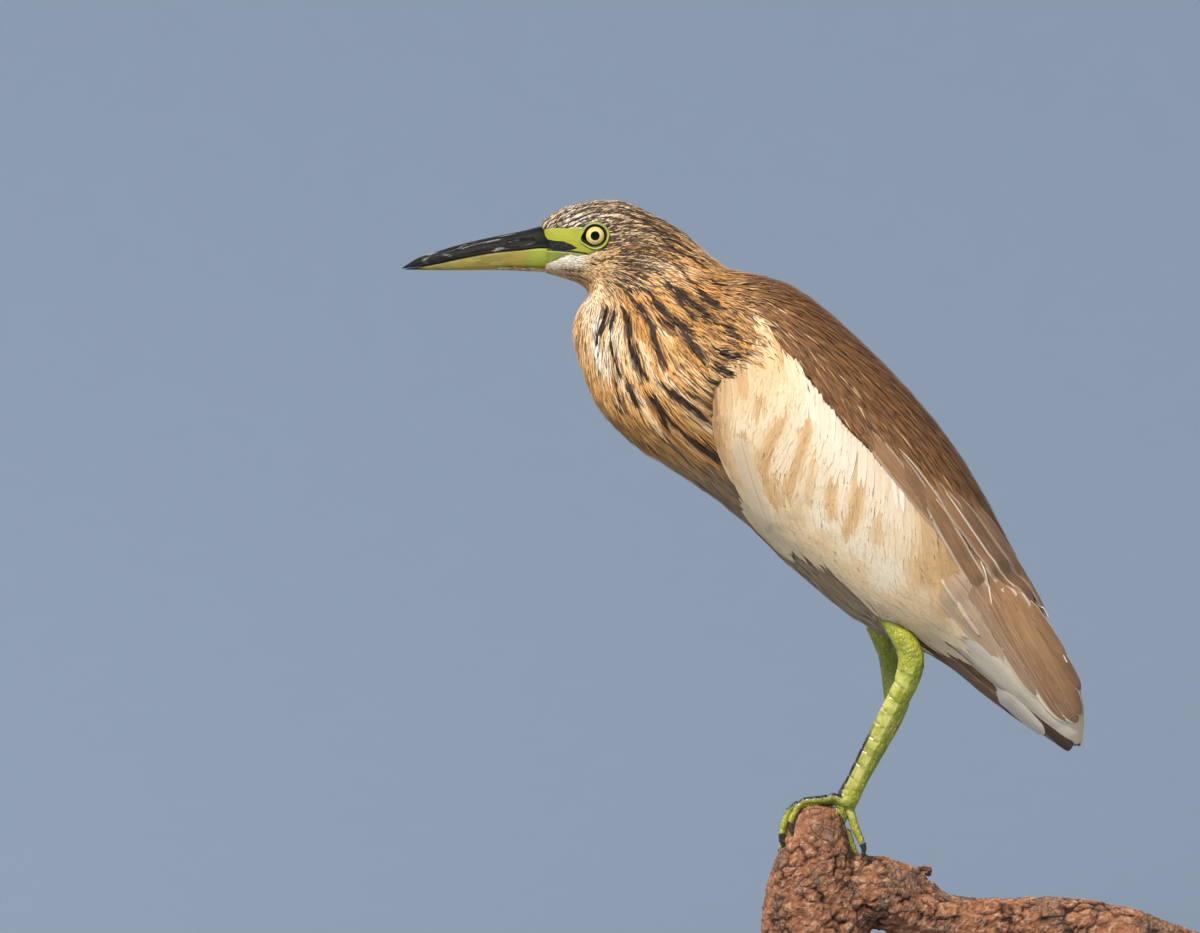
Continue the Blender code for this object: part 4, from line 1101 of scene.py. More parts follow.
def disc_faces(start: int, around: int, turned: bool) -> Array:
    """A fan that closes one ring of points, from its first point."""
    k = np.arange(1, around - 1)
    fan = np.stack([np.full_like(k, start), start + k, start + k + 1], 1)
    return fan[:, ::-1] if turned else fan


def tube_faces(rings: int, around: int) -> Array:
    """The triangles of rings of points that are closed at both ends."""
    last = (rings - 1) * around
    ends = disc_faces(0, around, True), disc_faces(last, around, False)
    return np.vstack([ring_faces(rings, around), *ends])


def facing_out(points: Array, faces: Array) -> Array:
    """The triangles of a closed form, turned so that they face outwards."""
    a, b, c = (points[faces[:, k]] for k in range(3))
    inside_out = np.einsum("ij,ij->i", a, np.cross(b, c)).sum() < 0
    return faces[:, ::-1] if inside_out else faces


def tree_of(points: Array | list[Array]) -> KDTree:
    """A tree that finds the nearest of some points."""
    tree = KDTree(len(points))
    for k, point in enumerate(points):
        tree.insert(point, k)
    tree.balance()
    return tree


class Surface:
    """A closed triangle mesh that other pieces are laid on."""

    def __init__(self, points: Array, faces: Array) -> None:
        """Keeps the mesh, its smooth normals and a tree for searches."""
        self.points = points
        self.faces = faces
        corner = points[faces]
        face_normals = np.cross(corner[:, 1] - corner[:, 0], corner[:, 2] - corner[:, 0])
        self.areas = np.linalg.norm(face_normals, axis=1) / 2
        self.normals = np.zeros_like(points)
        for k in range(3):
            for axis in range(3):
                self.normals[:, axis] += np.bincount(faces[:, k], face_normals[:, axis], len(points))
        self.normals = unit(self.normals)
        self.face_normals = unit(self.normals[faces].mean(axis=1))
        self.tree = BVHTree.FromPolygons(points.tolist(), faces.tolist(), all_triangles=True)

    @classmethod
    def around(cls, nodes: list[str], swell: float, voxel: float, rounds: int) -> "Surface":
        """One surface round several solids of the part.

        Args:
            nodes: The names of the solids.
            swell: How far they are grown first, so that they run into each other.
            voxel: The cell of the remesh.
            rounds: How often the result is relaxed.

        Returns:
            The surface, shrunk back by the swell.
        """
        points, faces, count = [], [], 0
        for name in nodes:
            at, triangles = read(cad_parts[name].data)
            at, index = np.unique(np.round(at, 3), axis=0, return_inverse=True)
            own = cls(at, index.reshape(-1)[triangles])
            points.append(own.points + own.normals * swell)
            faces.append(own.faces + count)
            count += len(at)
        mesh = bpy.data.meshes.new("union")
        mesh.from_pydata((np.vstack(points) * MM).tolist(), [], np.vstack(faces).tolist())
        union = bpy.data.objects.new("union", mesh)
        bpy.context.scene.collection.objects.link(union)
        remesh = union.modifiers.new("remesh", "REMESH")
        remesh.mode = "VOXEL"
        remesh.voxel_size = voxel * MM
        at, triangles = read(union.evaluated_get(bpy.context.evaluated_depsgraph_get()).to_mesh())
        bpy.data.objects.remove(union)
        at = relaxed(at, triangles, rounds)
        grown = cls(at, triangles)
        return cls(at - grown.normals * swell, triangles)

    def nearest(self, points: Array) -> tuple[Array, Array]:
        """The nearest places on the surface.

        Args:
            points: Where to search from.

        Returns:
            The places and the normals there.
        """
        places, index = np.empty_like(points), np.empty(len(points), int)
        for k, point in enumerate(points.tolist()):
            found = self.tree.find_nearest(point)
            places[k], index[k] = found[0], found[2]
        return places, self.face_normals[index]

    def middles(self) -> Array:
        """The middle of each face."""
        return self.points[self.faces].mean(axis=1)

    def beside(self, x: float, z: float, side: int, far: float = 300.0, close: float = 4.0) -> Array:
        """The place on one side of the bird that shows at that x and z.

        Args:
            x: How far along the bird.
            z: How high.
            side: Which side of it, LEFT or RIGHT.
            far: From how far out to look, past the whole bird.
            close: From where to take the nearest place, if nothing is seen from there.

        Returns:
            The place.
        """
        hit = self.tree.ray_cast(Vector((x, side * far, z)), Vector((0.0, -side, 0.0)))[0]
        if hit is None:
            hit = self.tree.find_nearest(Vector((x, side * close, z)))[0]
        return np.array(hit)

    def thickness(self, most: float) -> Array:
        """How far it is through the form from each point, up to a limit."""
        inwards = -self.normals
        starts = self.points + inwards * 0.05
        through_form = np.full(len(starts), most)
        for k, (start, way) in enumerate(zip(starts.tolist(), inwards.tolist())):
            distance = self.tree.ray_cast(start, way, most)[3]
            if distance is not None:
                through_form[k] = distance
        return through_form

    def averaged(self, values: Array, rounds: int) -> Array:
        """Numbers at the points, evened out along the surface."""
        edges = edges_of(self.faces)
        counts = np.maximum(np.bincount(edges.ravel(), minlength=len(values)), 1)
        for _ in range(rounds):
            total = np.bincount(edges[:, 0], values[edges[:, 1]], len(values))
            total += np.bincount(edges[:, 1], values[edges[:, 0]], len(values))
            values = (values + total / counts) / 2
        return values


def read(mesh: bpy.types.Mesh) -> tuple[Array, Array]:
    """The points, in millimetres, and the triangles of a mesh."""
    mesh.calc_loop_triangles()
    points = np.empty(len(mesh.vertices) * 3)
    mesh.vertices.foreach_get("co", points)
    triangles = np.empty(len(mesh.loop_triangles) * 3, np.int32)
    mesh.loop_triangles.foreach_get("vertices", triangles)
    return points.reshape(-1, 3) / MM, triangles.reshape(-1, 3)


def edges_of(faces: Array) -> Array:
    """The edges of triangles, each once."""
    ends = np.sort(np.concatenate([faces[:, [0, 1]], faces[:, [1, 2]], faces[:, [2, 0]]]), axis=1)
    return np.unique(ends, axis=0)


def relaxed(points: Array, faces: Array, rounds: int) -> Array:
    """Points smoothed without shrinking the form.

    Args:
        points: The points.
        faces: The triangles that join them.
        rounds: How often to smooth.

    Returns:
        The smoothed points.
    """
    edges = edges_of(faces)
    counts = np.maximum(np.bincount(edges.ravel(), minlength=len(points)), 1)
    for _ in range(rounds):
        for amount in (0.5, -0.51):
            mean = np.empty_like(points)
            for axis in range(3):
                total = np.bincount(edges[:, 0], points[edges[:, 1], axis], len(points))
                total += np.bincount(edges[:, 1], points[edges[:, 0], axis], len(points))
                mean[:, axis] = total / counts
            points = points + amount * (mean - points)
    return points


# ---------------------------------------------------------------- places on the bird
def to_line(places: Array, line: tuple[Place, ...]) -> Array:
    """The distance from places on the side to a line of points."""
    best = np.full(len(places), np.inf)
    for a, b in zip(line[:-1], line[1:]):
        a, b = np.array(a), np.array(b)
        run = b - a
        share = np.clip(((places - a) @ run) / (run @ run), 0.0, 1.0)
        best = np.minimum(best, np.linalg.norm(places - (a + share[:, None] * run), axis=1))
    return best


def within(places: Array, outline: tuple[Place, ...]) -> Array:
    """Whether places on the side lie inside an outline."""
    inside = np.zeros(len(places), bool)
    x, z = places[:, 0], places[:, 1]
    for (ax, az), (bx, bz) in zip(outline, outline[1:] + outline[:1]):
        crosses = (az > z) != (bz > z)
        with np.errstate(divide="ignore", invalid="ignore"):
            inside ^= crosses & (x < (bx - ax) * (z - az) / (bz - az) + ax)
    return inside


def inwards_of(places: Array, outline: tuple[Place, ...]) -> Array:
    """How far places lie inside a closed outline, negative outside it."""
    return to_line(places, outline + outline[:1]) * np.where(within(places, outline), 1.0, -1.0)


def side_of(places: Array, line: tuple[Place, Place]) -> Array:
    """The signed distance of places from a straight line, positive on its left."""
    a, b = np.array(line[0]), np.array(line[1])
    run = (b - a) / np.linalg.norm(b - a)
    return (places - a) @ np.array([-run[1], run[0]])


@dataclass(frozen=True)
class Anatomy:
    """Where things are on the bird, seen from the side."""

    eye: Place = (-119.0, 357.8)
    eye_socket: float = 5.0
    eye_ring: float = 5.7
    lores: tuple[Place, ...] = (
        (-144.5, 361.3), (-132.2, 361.3), (-125.3, 361.7), (-121.0, 360.0), (-113.6, 356.6),
        (-117.2, 353.1), (-120.4, 350.4), (-124.0, 349.3), (-131.4, 349.6), (-136.0, 347.5),
        (-139.8, 345.6), (-144.5, 344.4),
    )
    band: tuple[Place, ...] = (
        (-144.5, 358.6), (-141.6, 358.0), (-139.8, 356.4), (-136.5, 355.7), (-132.9, 355.4),
        (-129.6, 354.2), (-126.8, 352.5), (-129.8, 351.7), (-133.0, 351.7), (-137.5, 352.2),
        (-144.5, 352.6),
    )
    gape: tuple[Place, ...] = ((-144.5, 351.9), (-137.0, 351.6), (-129.0, 350.9), (-122.8, 349.9))
    bill_base: float = -142.2
    wing_out: float = 0.12
    rim_reach: float = 5.5
    rim_heights: Place = (300.0, 290.0)
    steps: int = 8

    def girth(self, points: Array) -> tuple[Array, Array]:
        """Where points are on the body.

        Args:
            points: Points in space.

        Returns:
            How far along the sections each one lies, and its angle round them, 0 on the back.
        """
        rows = through(SECTIONS, self.steps * (len(SECTIONS) - 1) + 1)
        low, high = rows[:, :2], rows[:, 2:]
        middle, up = (low + high) / 2, unit(high - low)
        places = points[:, [0, 2]]
        forward = np.stack([up[:, 1], -up[:, 0]], 1)
        best, station = np.full(len(points), np.inf), np.zeros(len(points))
        for k in range(len(rows) - 1):
            here = places - middle[k]
            ahead = np.einsum("ij,j->i", here, forward[k])
            behind = np.einsum("ij,j->i", places - middle[k + 1], forward[k + 1])
            step = ahead - behind
            share = np.clip(ahead / np.where(np.abs(step) < 1e-6, 1e-6, step), 0.0, 1.0)
            centre = middle[k] + share[:, None] * (middle[k + 1] - middle[k])
            distance = np.linalg.norm(places - centre, axis=1) + 50.0 * ((ahead < 0) | (behind > 0))
            closer = distance < best
            best[closer] = distance[closer]
            station[closer] = (k + share[closer]) / self.steps
        nearest_row = np.minimum((station * self.steps).round().astype(int), len(rows) - 1)
        height = np.einsum("ij,ij->i", places - middle[nearest_row], up[nearest_row])
        return station, np.arctan2(points[:, 1], height)

    def on_wing(self, points: Array, normals: Array) -> Array:
        """Whether points lie on a folded wing."""
        return within(points[:, [0, 2]], WING_RIM + WING_TOP) & (np.abs(normals[:, 1]) > self.wing_out)

    def under_rim(self, points: Array) -> Array:
        """How much the body sinks under the wing's rim, from 0 to 1, away from the wing itself."""
        places = points[:, [0, 2]]
        outside = ~within(places, WING_RIM + WING_TOP)
        sink = np.exp(-to_line(places, WING_RIM) / self.rim_reach) * outside
        return sink * smooth_step(places[:, 1], *self.rim_heights)

    def bare(self, points: Array) -> Array:
        """How bare the face is, from 0 to 1."""
        lores = smooth_step(inwards_of(points[:, [0, 2]], self.lores), -0.35, 0.35)
        ring = smooth_step(self.from_eye(points), self.eye_ring + 0.7, self.eye_ring)
        return np.maximum(lores, ring) * (np.abs(points[:, 1]) > 2.0)

    def from_eye(self, points: Array) -> Array:
        """How far points are from the middle of the eye, seen from the side."""
        return np.hypot(points[:, 0] - self.eye[0], points[:, 2] - self.eye[1])

    def banded(self, points: Array) -> Array:
        """How much of the dark band lies on the face, from 0 to 1."""
        places = points[:, [0, 2]]
        band = smooth_step(inwards_of(places, self.band), -0.4, 0.3)
        line = smooth_step(to_line(places, self.gape), 0.45, 0.15)
        return np.maximum(band, line) * (np.abs(points[:, 1]) > 2.0)


class Flow:
    """The lie of the plumage at any place, from the rows of its tables.

    Soft evens out what lies within about its root in millimetres, and batch is how many points
    are worked out at once.
    """

    NAMES = ("length", "width", "depth", "warm", "umber")
    SOFT = 4.0
    BATCH = 20000

    def __init__(self, rows: tuple[Lie, ...]) -> None:
        """Keeps the rows as arrays."""
        self.places = np.array([(r.x, r.z) for r in rows])
        heading = np.radians([r.heading for r in rows])
        columns = [np.array([getattr(row, name) for row in rows]) for name in self.NAMES]
        self.values = np.stack([np.cos(heading), np.sin(heading), *columns], 1)

    def at(self, points: Array) -> Array:
        """The rows' values at points, weighted by nearness.

        Args:
            points: Points in space.

        Returns:
            Heading as a cosine and a sine, length, width, depth, warm and umber.
        """
        out = np.empty((len(points), self.values.shape[1]))
        for start in range(0, len(points), self.BATCH):
            part = points[start : start + self.BATCH, [0, 2]]
            squares = ((part[:, None, :] - self.places[None]) ** 2).sum(2)
            weights = 1.0 / (squares + self.SOFT) ** 2
            out[start : start + self.BATCH] = (weights @ self.values) / weights.sum(1, keepdims=True)
        return out


class Streaks:
    """A layer of streaks drawn on the surface, which can be asked how dark it is anywhere.

    Step is how far its points lie apart, in millimetres.
    """

    STEP = 0.6

    def __init__(self) -> None:
        """An empty layer."""
        self.points: list[Array] = []
        self.half_widths: list[float] = []
        self.strengths: list[float] = []
        self.tree: KDTree | None = None

    def add(self, path: Array, half_width: float, strength: float) -> None:
        """Adds one streak along a path in space, narrow at both ends."""
        count = len(path)
        from_end = np.minimum(np.arange(count) + 1.5, count - np.arange(count))
        taper = np.clip(from_end / 4.0, 0.35, 1.0)
        self.points.extend(path)
        self.half_widths.extend(half_width * taper)
        self.strengths.extend(np.full(count, strength))

    def draw(self, surface: Surface, streaks: tuple[Streak, ...], widen: float) -> None:
        """Adds streaks given on the side of the bird to both of its sides.

        Args:
            surface: The form they are laid on.
            streaks: The streaks.
            widen: How much wider than given they are drawn.
        """
        for streak in streaks:
            knots = np.array(streak.points)
            length = np.linalg.norm(np.diff(knots, axis=0), axis=1).sum()
            path = through(knots, max(int(length / self.STEP), 3))
            for side in (LEFT, RIGHT):
                laid = np.array([surface.beside(x, z, side) for x, z in path])
                self.add(laid, widen * streak.half_width, streak.strength)

    def close(self) -> None:
        """Readies the layer for questions."""
        self.tree = tree_of(self.points)

    def cover(self, points: Array, soft: float, wider: float = 1.0) -> Array:
        """How strongly streaks cover points.

        Args:
            points: Points in space.
            soft: The share of a streak's half width over which it fades out.
            wider: How much wider than drawn the streaks count as.

        Returns:
            Numbers from 0 to 1.
        """
        found = [self.tree.find(p)[1:] for p in points.tolist()]
        index = np.array([f[0] for f in found])
        distance = np.array([f[1] for f in found])
        half = wider * np.array(self.half_widths)[index]
        share = smooth_step(distance / half, 1.0 + soft / 2, 1.0 - soft / 2)
        return np.array(self.strengths)[index] * share


@dataclass(frozen=True)
class Marking:
    """Where the marks of the plumage lie and how strong they are.

    Pairs are the ends of a smooth step from 0 to 1. Neck, white and crown are counted in sections
    along the body. The white stripes lie on both sides of the middle line of the front, and beside
    is in radians from it. Soft is the share of a streak's half width over which it fades out.
    """

    neck_from: Place = (4.6, 5.4)
    neck_to: Place = (12.0, 10.0)
    white_to: Place = (10.0, 8.0)
    crown_to: Place = (5.6, 4.4)
    beside: Place = (0.30, 0.46)
    beside_to: Place = (1.15, 0.85)
    mantle: Place = (0.55, 0.8)
    soft: float = 0.6
    halo_soft: float = 0.9
    halo_wider: float = 2.2
    halo: float = 0.62
    buff_soft: float = 1.4
    buff: float = 0.62
    buff_umber: float = 0.26
    glow_soft: float = 1.6
    darkest: float = 0.95


class Plumage:
    """The surface of the bird with the lie and the marks of its feathers."""

    def __init__(self, surface: Surface, anatomy: Anatomy, rng: np.random.Generator) -> None:
        """Readies the lie and draws the streaks."""
        self.surface = surface
        self.anatomy = anatomy
        self.marking = Marking()
        self.body, self.wing = Flow(BODY_LIE), Flow(WING_LIE)
        self.bold, self.fine, self.buff, self.glow = Streaks(), Streaks(), Streaks(), Streaks()
        self.bold.draw(surface, NECK_STREAKS, 1.12)
        self.bold.draw(surface, HEAD_STREAKS, 0.95)
        self.buff.draw(surface, WING_STREAKS, 1.25)
        self.scatter(rng)
        for layer in (self.bold, self.fine, self.buff, self.glow):
            layer.close()

    def lie(self, points: Array, winged: Array) -> Array:
        """The lie at points, read from the wing's table where they are on a wing."""
        out = self.body.at(points)
        if winged.any():
            out[winged] = self.wing.at(points[winged])
        return out

    @staticmethod
    def tangents(lie: Array, normals: Array) -> Array:
        """The way feathers point, along the surface."""
        way = unit(np.stack([lie[:, 0], np.zeros(len(lie)), lie[:, 1]], 1))
        return unit(way - np.einsum("ij,ij->i", way, normals)[:, None] * normals)

    def walk(
        self, starts: Array, normals: Array, steps: Array, turn: Array, winged: Array
    ) -> tuple[Array, Array, Array]:
        """Paths along the lie from many places at once.

        Args:
            starts: Where they start, on the surface.
            normals: The normals there.
            steps: The length of each step of each path, one row for each path.
            turn: By how many radians each path strays from the lie.
            winged: Which of them follow the lie of the wing.

        Returns:
            The points, normals and directions, with the steps along the second axis.
        """
        places, ups, ways = [starts], [normals], []
        for k in range(steps.shape[1] + 1):
            along = self.tangents(self.lie(places[-1], winged), ups[-1])
            across = np.cross(ups[-1], along)
            way = along * np.cos(turn)[:, None] + across * np.sin(turn)[:, None]
            ways.append(way)
            if k == steps.shape[1]:
                break
            place, up = self.surface.nearest(places[-1] + way * steps[:, k : k + 1])
            places.append(place)
            ups.append(up)
        return np.stack(places, 1), np.stack(ups, 1), np.stack(ways, 1)

    def roots(self, chance: Array, count: int, rng: np.random.Generator) -> tuple[Array, Array]:
        """Places spread evenly over the surface.

        Args:
            chance: How likely each face is to hold one, for its area.
            count: How many places to find.
            rng: The source of chance.

        Returns:
            The places and the normals there.
        """
        total = np.cumsum(chance)
        pick = np.searchsorted(total, (np.arange(count) + rng.random(count)) / count * total[-1])
        pick = np.minimum(pick, len(total) - 1)
        a, b = rng.random((2, count, 1))
        flip = a + b > 1
        a, b = np.where(flip, 1 - a, a), np.where(flip, 1 - b, b)
        corner = self.surface.points[self.surface.faces[pick]]
        places = corner[:, 0] + a * (corner[:, 1] - corner[:, 0]) + b * (corner[:, 2] - corner[:, 0])
        return places, self.surface.face_normals[pick]

    def scatter(self, rng: np.random.Generator) -> None:
        """Draws the many fine streaks between the bold ones, and the soft paler and warmer ones."""
        middle = self.surface.middles()
        station, angle = self.anatomy.girth(middle)
        off_wing = 1 - within(middle[:, [0, 2]], WING_RIM + WING_TOP)
        head = (station < 6.6) * (np.abs(angle) < 1.75)
        neck = (station >= 4.8) * (station < 13.0) * (np.abs(angle) < 2.75) * off_wing
        kinds = (
            (self.fine, head, 0.22, 12.0, 0.38, (0.7, 1.0)),
            (self.fine, neck, 0.012, 15.0, 0.45, (0.45, 0.7)),
            (self.glow, neck, 0.012, 22.0, 1.5, (-0.3, 0.3)),
        )
        steps = 10
        for layer, zone, per_mm2, length, width, strengths in kinds:
            chance = self.surface.areas * zone
            count = int(chance.sum() * per_mm2)
            places, ups = self.roots(chance, count, rng)
            strides = np.full((count, steps), length / steps) * rng.uniform(0.6, 1.4, (count, 1))
            paths, _, _ = self.walk(places, ups, strides, np.zeros(count), np.zeros(count, bool))
            for path in paths:
                points = through(path, 2 * steps)
                layer.add(points, width * rng.uniform(0.7, 1.3), rng.uniform(*strengths))

    def marks(self, points: Array, winged: Array) -> dict[str, Array]:
        """The marks at points, the same for skin and coat.

        Args:
            points: Points near the surface.
            winged: Which of them are on a wing.

        Returns:
            warm, umber and dark, by name.
        """
        by = self.marking
        lie = self.lie(points, winged)
        warm, umber = lie[:, 5], lie[:, 6]
        body = ~winged
        station, angle = self.anatomy.girth(points)
        from_front = np.pi - np.abs(angle)
        neck = smooth_step(station, *by.neck_from) * smooth_step(station, *by.neck_to) * body
        line = smooth_step(from_front, *by.beside[::-1]) * neck
        stripe = smooth_step(from_front, *by.beside) * smooth_step(from_front, *by.beside_to) * neck
        stripe *= smooth_step(station, *by.white_to)
        warm = warm * (1 - 0.45 * stripe) + 0.15 * line * (1 - warm)
        crown = smooth_step(station, *by.crown_to) * body
        umber = umber * (1 - 0.8 * stripe) * (1 - 0.55 * crown) + 0.02 * line
        bold = self.bold.cover(points, by.soft)
        halo = self.bold.cover(points, by.halo_soft, by.halo_wider)
        fine = self.fine.cover(points, by.soft)
        mantle = smooth_step(umber, *by.mantle) * body
        umber = np.maximum(umber, by.halo * halo * body * (1 - mantle) * (1 - crown))
        dark = np.maximum(bold, fine * (1 - 0.85 * stripe)) * body * (1 - 0.8 * mantle)
        buff = self.buff.cover(points, by.buff_soft) * winged
        warm = warm + buff * (by.buff - warm) + self.glow.cover(points, by.glow_soft) * body
        return {"warm": warm, "umber": umber + buff * by.buff_umber, "dark": dark * by.darkest}


# ---------------------------------------------------------------- skin
@dataclass
class Skin:
    """One skin over head, neck, trunk, tail, thighs and wings, under the whole coat."""

    plumage: Plumage
    rim_sink: float = 2.4
    socket_depth: float = 3.6
    gape_depth: float = 0.35
    bill_sink: float = 0.9
    bill_sink_at: Place = (-138.0, -141.5)
    share_of_thickness: float = 0.3
    eye_flank: float = 6.0
    gape_flank: float = 2.0
    finish: FaceFinish = field(default_factory=FaceFinish)

    def build(self) -> None:
        """The skin, sunk under the coat, with its marks."""
        anatomy = self.plumage.anatomy
        surface = finer(self.plumage.surface, self.near_face, 2)
        points, normals = surface.points, surface.normals
        winged = anatomy.on_wing(points, normals)
        lie = self.plumage.lie(points, winged)
        depth = lie[:, 4] + self.rim_sink * anatomy.under_rim(points)
        depth = np.minimum(depth, self.share_of_thickness * surface.thickness(20.0))
        bare, band = anatomy.bare(points), anatomy.banded(points)
        at_bill = smooth_step(points[:, 0], *self.bill_sink_at)
        depth = surface.averaged(depth, 4) * (1 - 0.75 * bare) + self.bill_sink * at_bill
        ring, off_middle = anatomy.from_eye(points), np.abs(points[:, 1])
        socket = smooth_step(ring, anatomy.eye_socket + 0.8, anatomy.eye_socket - 0.4)
        socket = socket * (off_middle > self.eye_flank)
        gape = smooth_step(to_line(points[:, [0, 2]], anatomy.gape), 0.7, 0.1)
        gape = gape * (off_middle > self.gape_flank)
        depth = depth + self.socket_depth * socket + self.gape_depth * gape * bare
        sunk = points - normals * depth[:, None]
        skin = make_piece("skin", sunk, surface.faces, self.finish.make())
        marks = self.plumage.marks(points, winged)
        green = 0.9 * smooth_step(points[:, 2], 351.6, 350.4) + 0.75 * smooth_step(ring, 7.5, 5.0)
        carry(skin, bare=bare, band=band, green=green, **marks)
        station, angle = anatomy.girth(points)
        lay_map(skin, wrapped(station, angle, surface.faces))
        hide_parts(*FLESH)

    @staticmethod
    def near_face(points: Array) -> Array:
        """Which places are near the lores and the eyes."""
        x, y, z = points.T
        return (x < -111.0) & (z > 346.5) & (z < 366.0) & (np.abs(y) > 3.0)


FLESH = [
    "head",
    "neck_upper",
    "neck_lower",
    "trunk",
    "tail",
    *(f"{part}_{side}" for part in ("wing", "flight_feathers", "thigh") for side in ("left", "right")),
]
LEG_NODES = [f"{part}_{side}" for part in ("shank", "tarsus", "foot") for side in ("left", "right")]


def finer(surface: Surface, near: Callable[[Array], Array], rounds: int) -> Surface:
    """A surface with smaller faces in one region.

    Args:
        surface: The surface.
        near: Tells which places are in the region.
        rounds: How often the faces there are divided.

    Returns:
        The divided surface.
    """
    points, faces = surface.points, surface.faces
    for _ in range(rounds):
        edges = edges_of(faces)
        middle = points[edges].mean(axis=1)
        split = near(middle)
        number = {tuple(edge): len(points) + k for k, edge in enumerate(edges[split].tolist())}
        whole = ~near(points[faces].reshape(-1, 3)).reshape(-1, 3).any(axis=1)
        made = faces[whole].tolist()
        for a, b, c in faces[~whole].tolist():
            ab, bc, ca = (number.get((min(p, q), max(p, q))) for p, q in ((a, b), (b, c), (c, a)))
            loop = [v for v in (a, ab, b, bc, c, ca) if v is not None]
            if len(loop) == 6:
                made += [(a, ab, ca), (ab, b, bc), (ca, bc, c), (ab, bc, ca)]
            else:
                start = next((k for k, v in enumerate(loop) if v >= len(points)), 0)
                loop = loop[start:] + loop[:start]
                made += [(loop[0], loop[k], loop[k + 1]) for k in range(1, len(loop) - 1)]
        points = np.vstack([points, middle[split]])
        faces = np.array(made, np.int32)
    return Surface(points, faces)


# the body's bake map: where it starts, how long it is, and half its height round the body
MAP_START, MAP_LENGTH, MAP_HALF = 0.02, 0.96, 0.47


def on_map(station: Array, angle: Array) -> Array:
    """Where places on the body lie on its bake map, as (u, v)."""
    along = MAP_START + MAP_LENGTH * station / (len(SECTIONS) - 1)
    return np.stack([along, 0.5 + MAP_HALF * angle / np.pi], 1)


def wrapped(station: Array, angle: Array, faces: Array) -> Array:
    """The unwrap of the skin, one place for each corner of its faces.

    Args:
        station: How far along the body each point lies, in sections.
        angle: Its angle round the body.
        faces: The triangles.

    Returns:
        The (u, v) of every corner, in order.
    """
    u, v = on_map(station, angle)[faces].transpose(2, 0, 1).copy()
    torn = v.max(axis=1) - v.min(axis=1) > 0.5
    v[torn] = np.where(v[torn] < 0.5, v[torn] + 2 * MAP_HALF, v[torn])
    return np.stack([u, v], -1).reshape(-1, 2)


# ---------------------------------------------------------------- coat
class Tip(Enum):
    """How a small feather ends, as the widths of its rings before the point."""

    POINTED = (0.55, 1.0, 0.85, 0.45)
    SPLIT = (0.60, 1.0, 0.95, 0.62)


class Zone(Enum):
    """The feather tracts."""

    HEAD = "head"
    NECK = "neck"
    BREAST = "breast"
    SHOULDER = "shoulder"
    MANTLE = "mantle"
    COVERTS = "coverts"
    BELLY = "belly"


ZONES = list(Zone)


@dataclass(frozen=True)
class Tract:
    """One tract of small feathers.

    Cover is how many of them lie over each point, proud how far their tips stand off the outer
    form, and uneven by what share of their depth some tips lie lower.
    """

    zone: Zone
    cover: float
    longer: float = 1.0
    wider: float = 1.0
    proud: float = 0.1
    ragged: float = 7.0
    camber: float = 0.24
    tip: Tip = Tip.POINTED
    uneven: float = 0.45
    clumped: float = 0.6
    warm_spread: float = 0.07
    shades: Place = (0.0, 1.0)
    slot: str = "plumage_streaked"


TRACTS = (
    Tract(Zone.HEAD, cover=9.0, wider=0.75, proud=0.1, ragged=4.5, camber=0.2),
    Tract(Zone.NECK, cover=8.0, wider=0.6, proud=0.2, ragged=5.0, camber=0.2),
    Tract(Zone.BREAST, cover=8.0, wider=0.65, proud=0.2, ragged=5.0, camber=0.2),
    Tract(Zone.SHOULDER, cover=8.0, wider=0.7, proud=0.5, ragged=10.0, camber=0.2),
    Tract(
        Zone.MANTLE,
        cover=8.0,
        wider=0.6,
        proud=0.15,
        ragged=4.0,
        camber=0.12,
        shades=(0.1, 0.88),
        slot="plumage_brown",
    ),
    Tract(
        Zone.COVERTS,
        cover=13.0,
        longer=1.7,
        wider=0.8,
        proud=0.0,
        ragged=3.0,
        camber=0.02,
        tip=Tip.SPLIT,
        uneven=0.2,
        clumped=0.0,
        warm_spread=0.01,
        shades=(0.8, 1.0),
        slot="plumage_white",
    ),
    Tract(
        Zone.BELLY,
        cover=8.0,
        longer=1.3,
        wider=0.6,
        proud=0.0,
        ragged=4.0,
        camber=0.05,
        tip=Tip.SPLIT,
        uneven=0.3,
        clumped=0.0,
        warm_spread=0.03,
        shades=(0.35, 0.7),
    ),
)


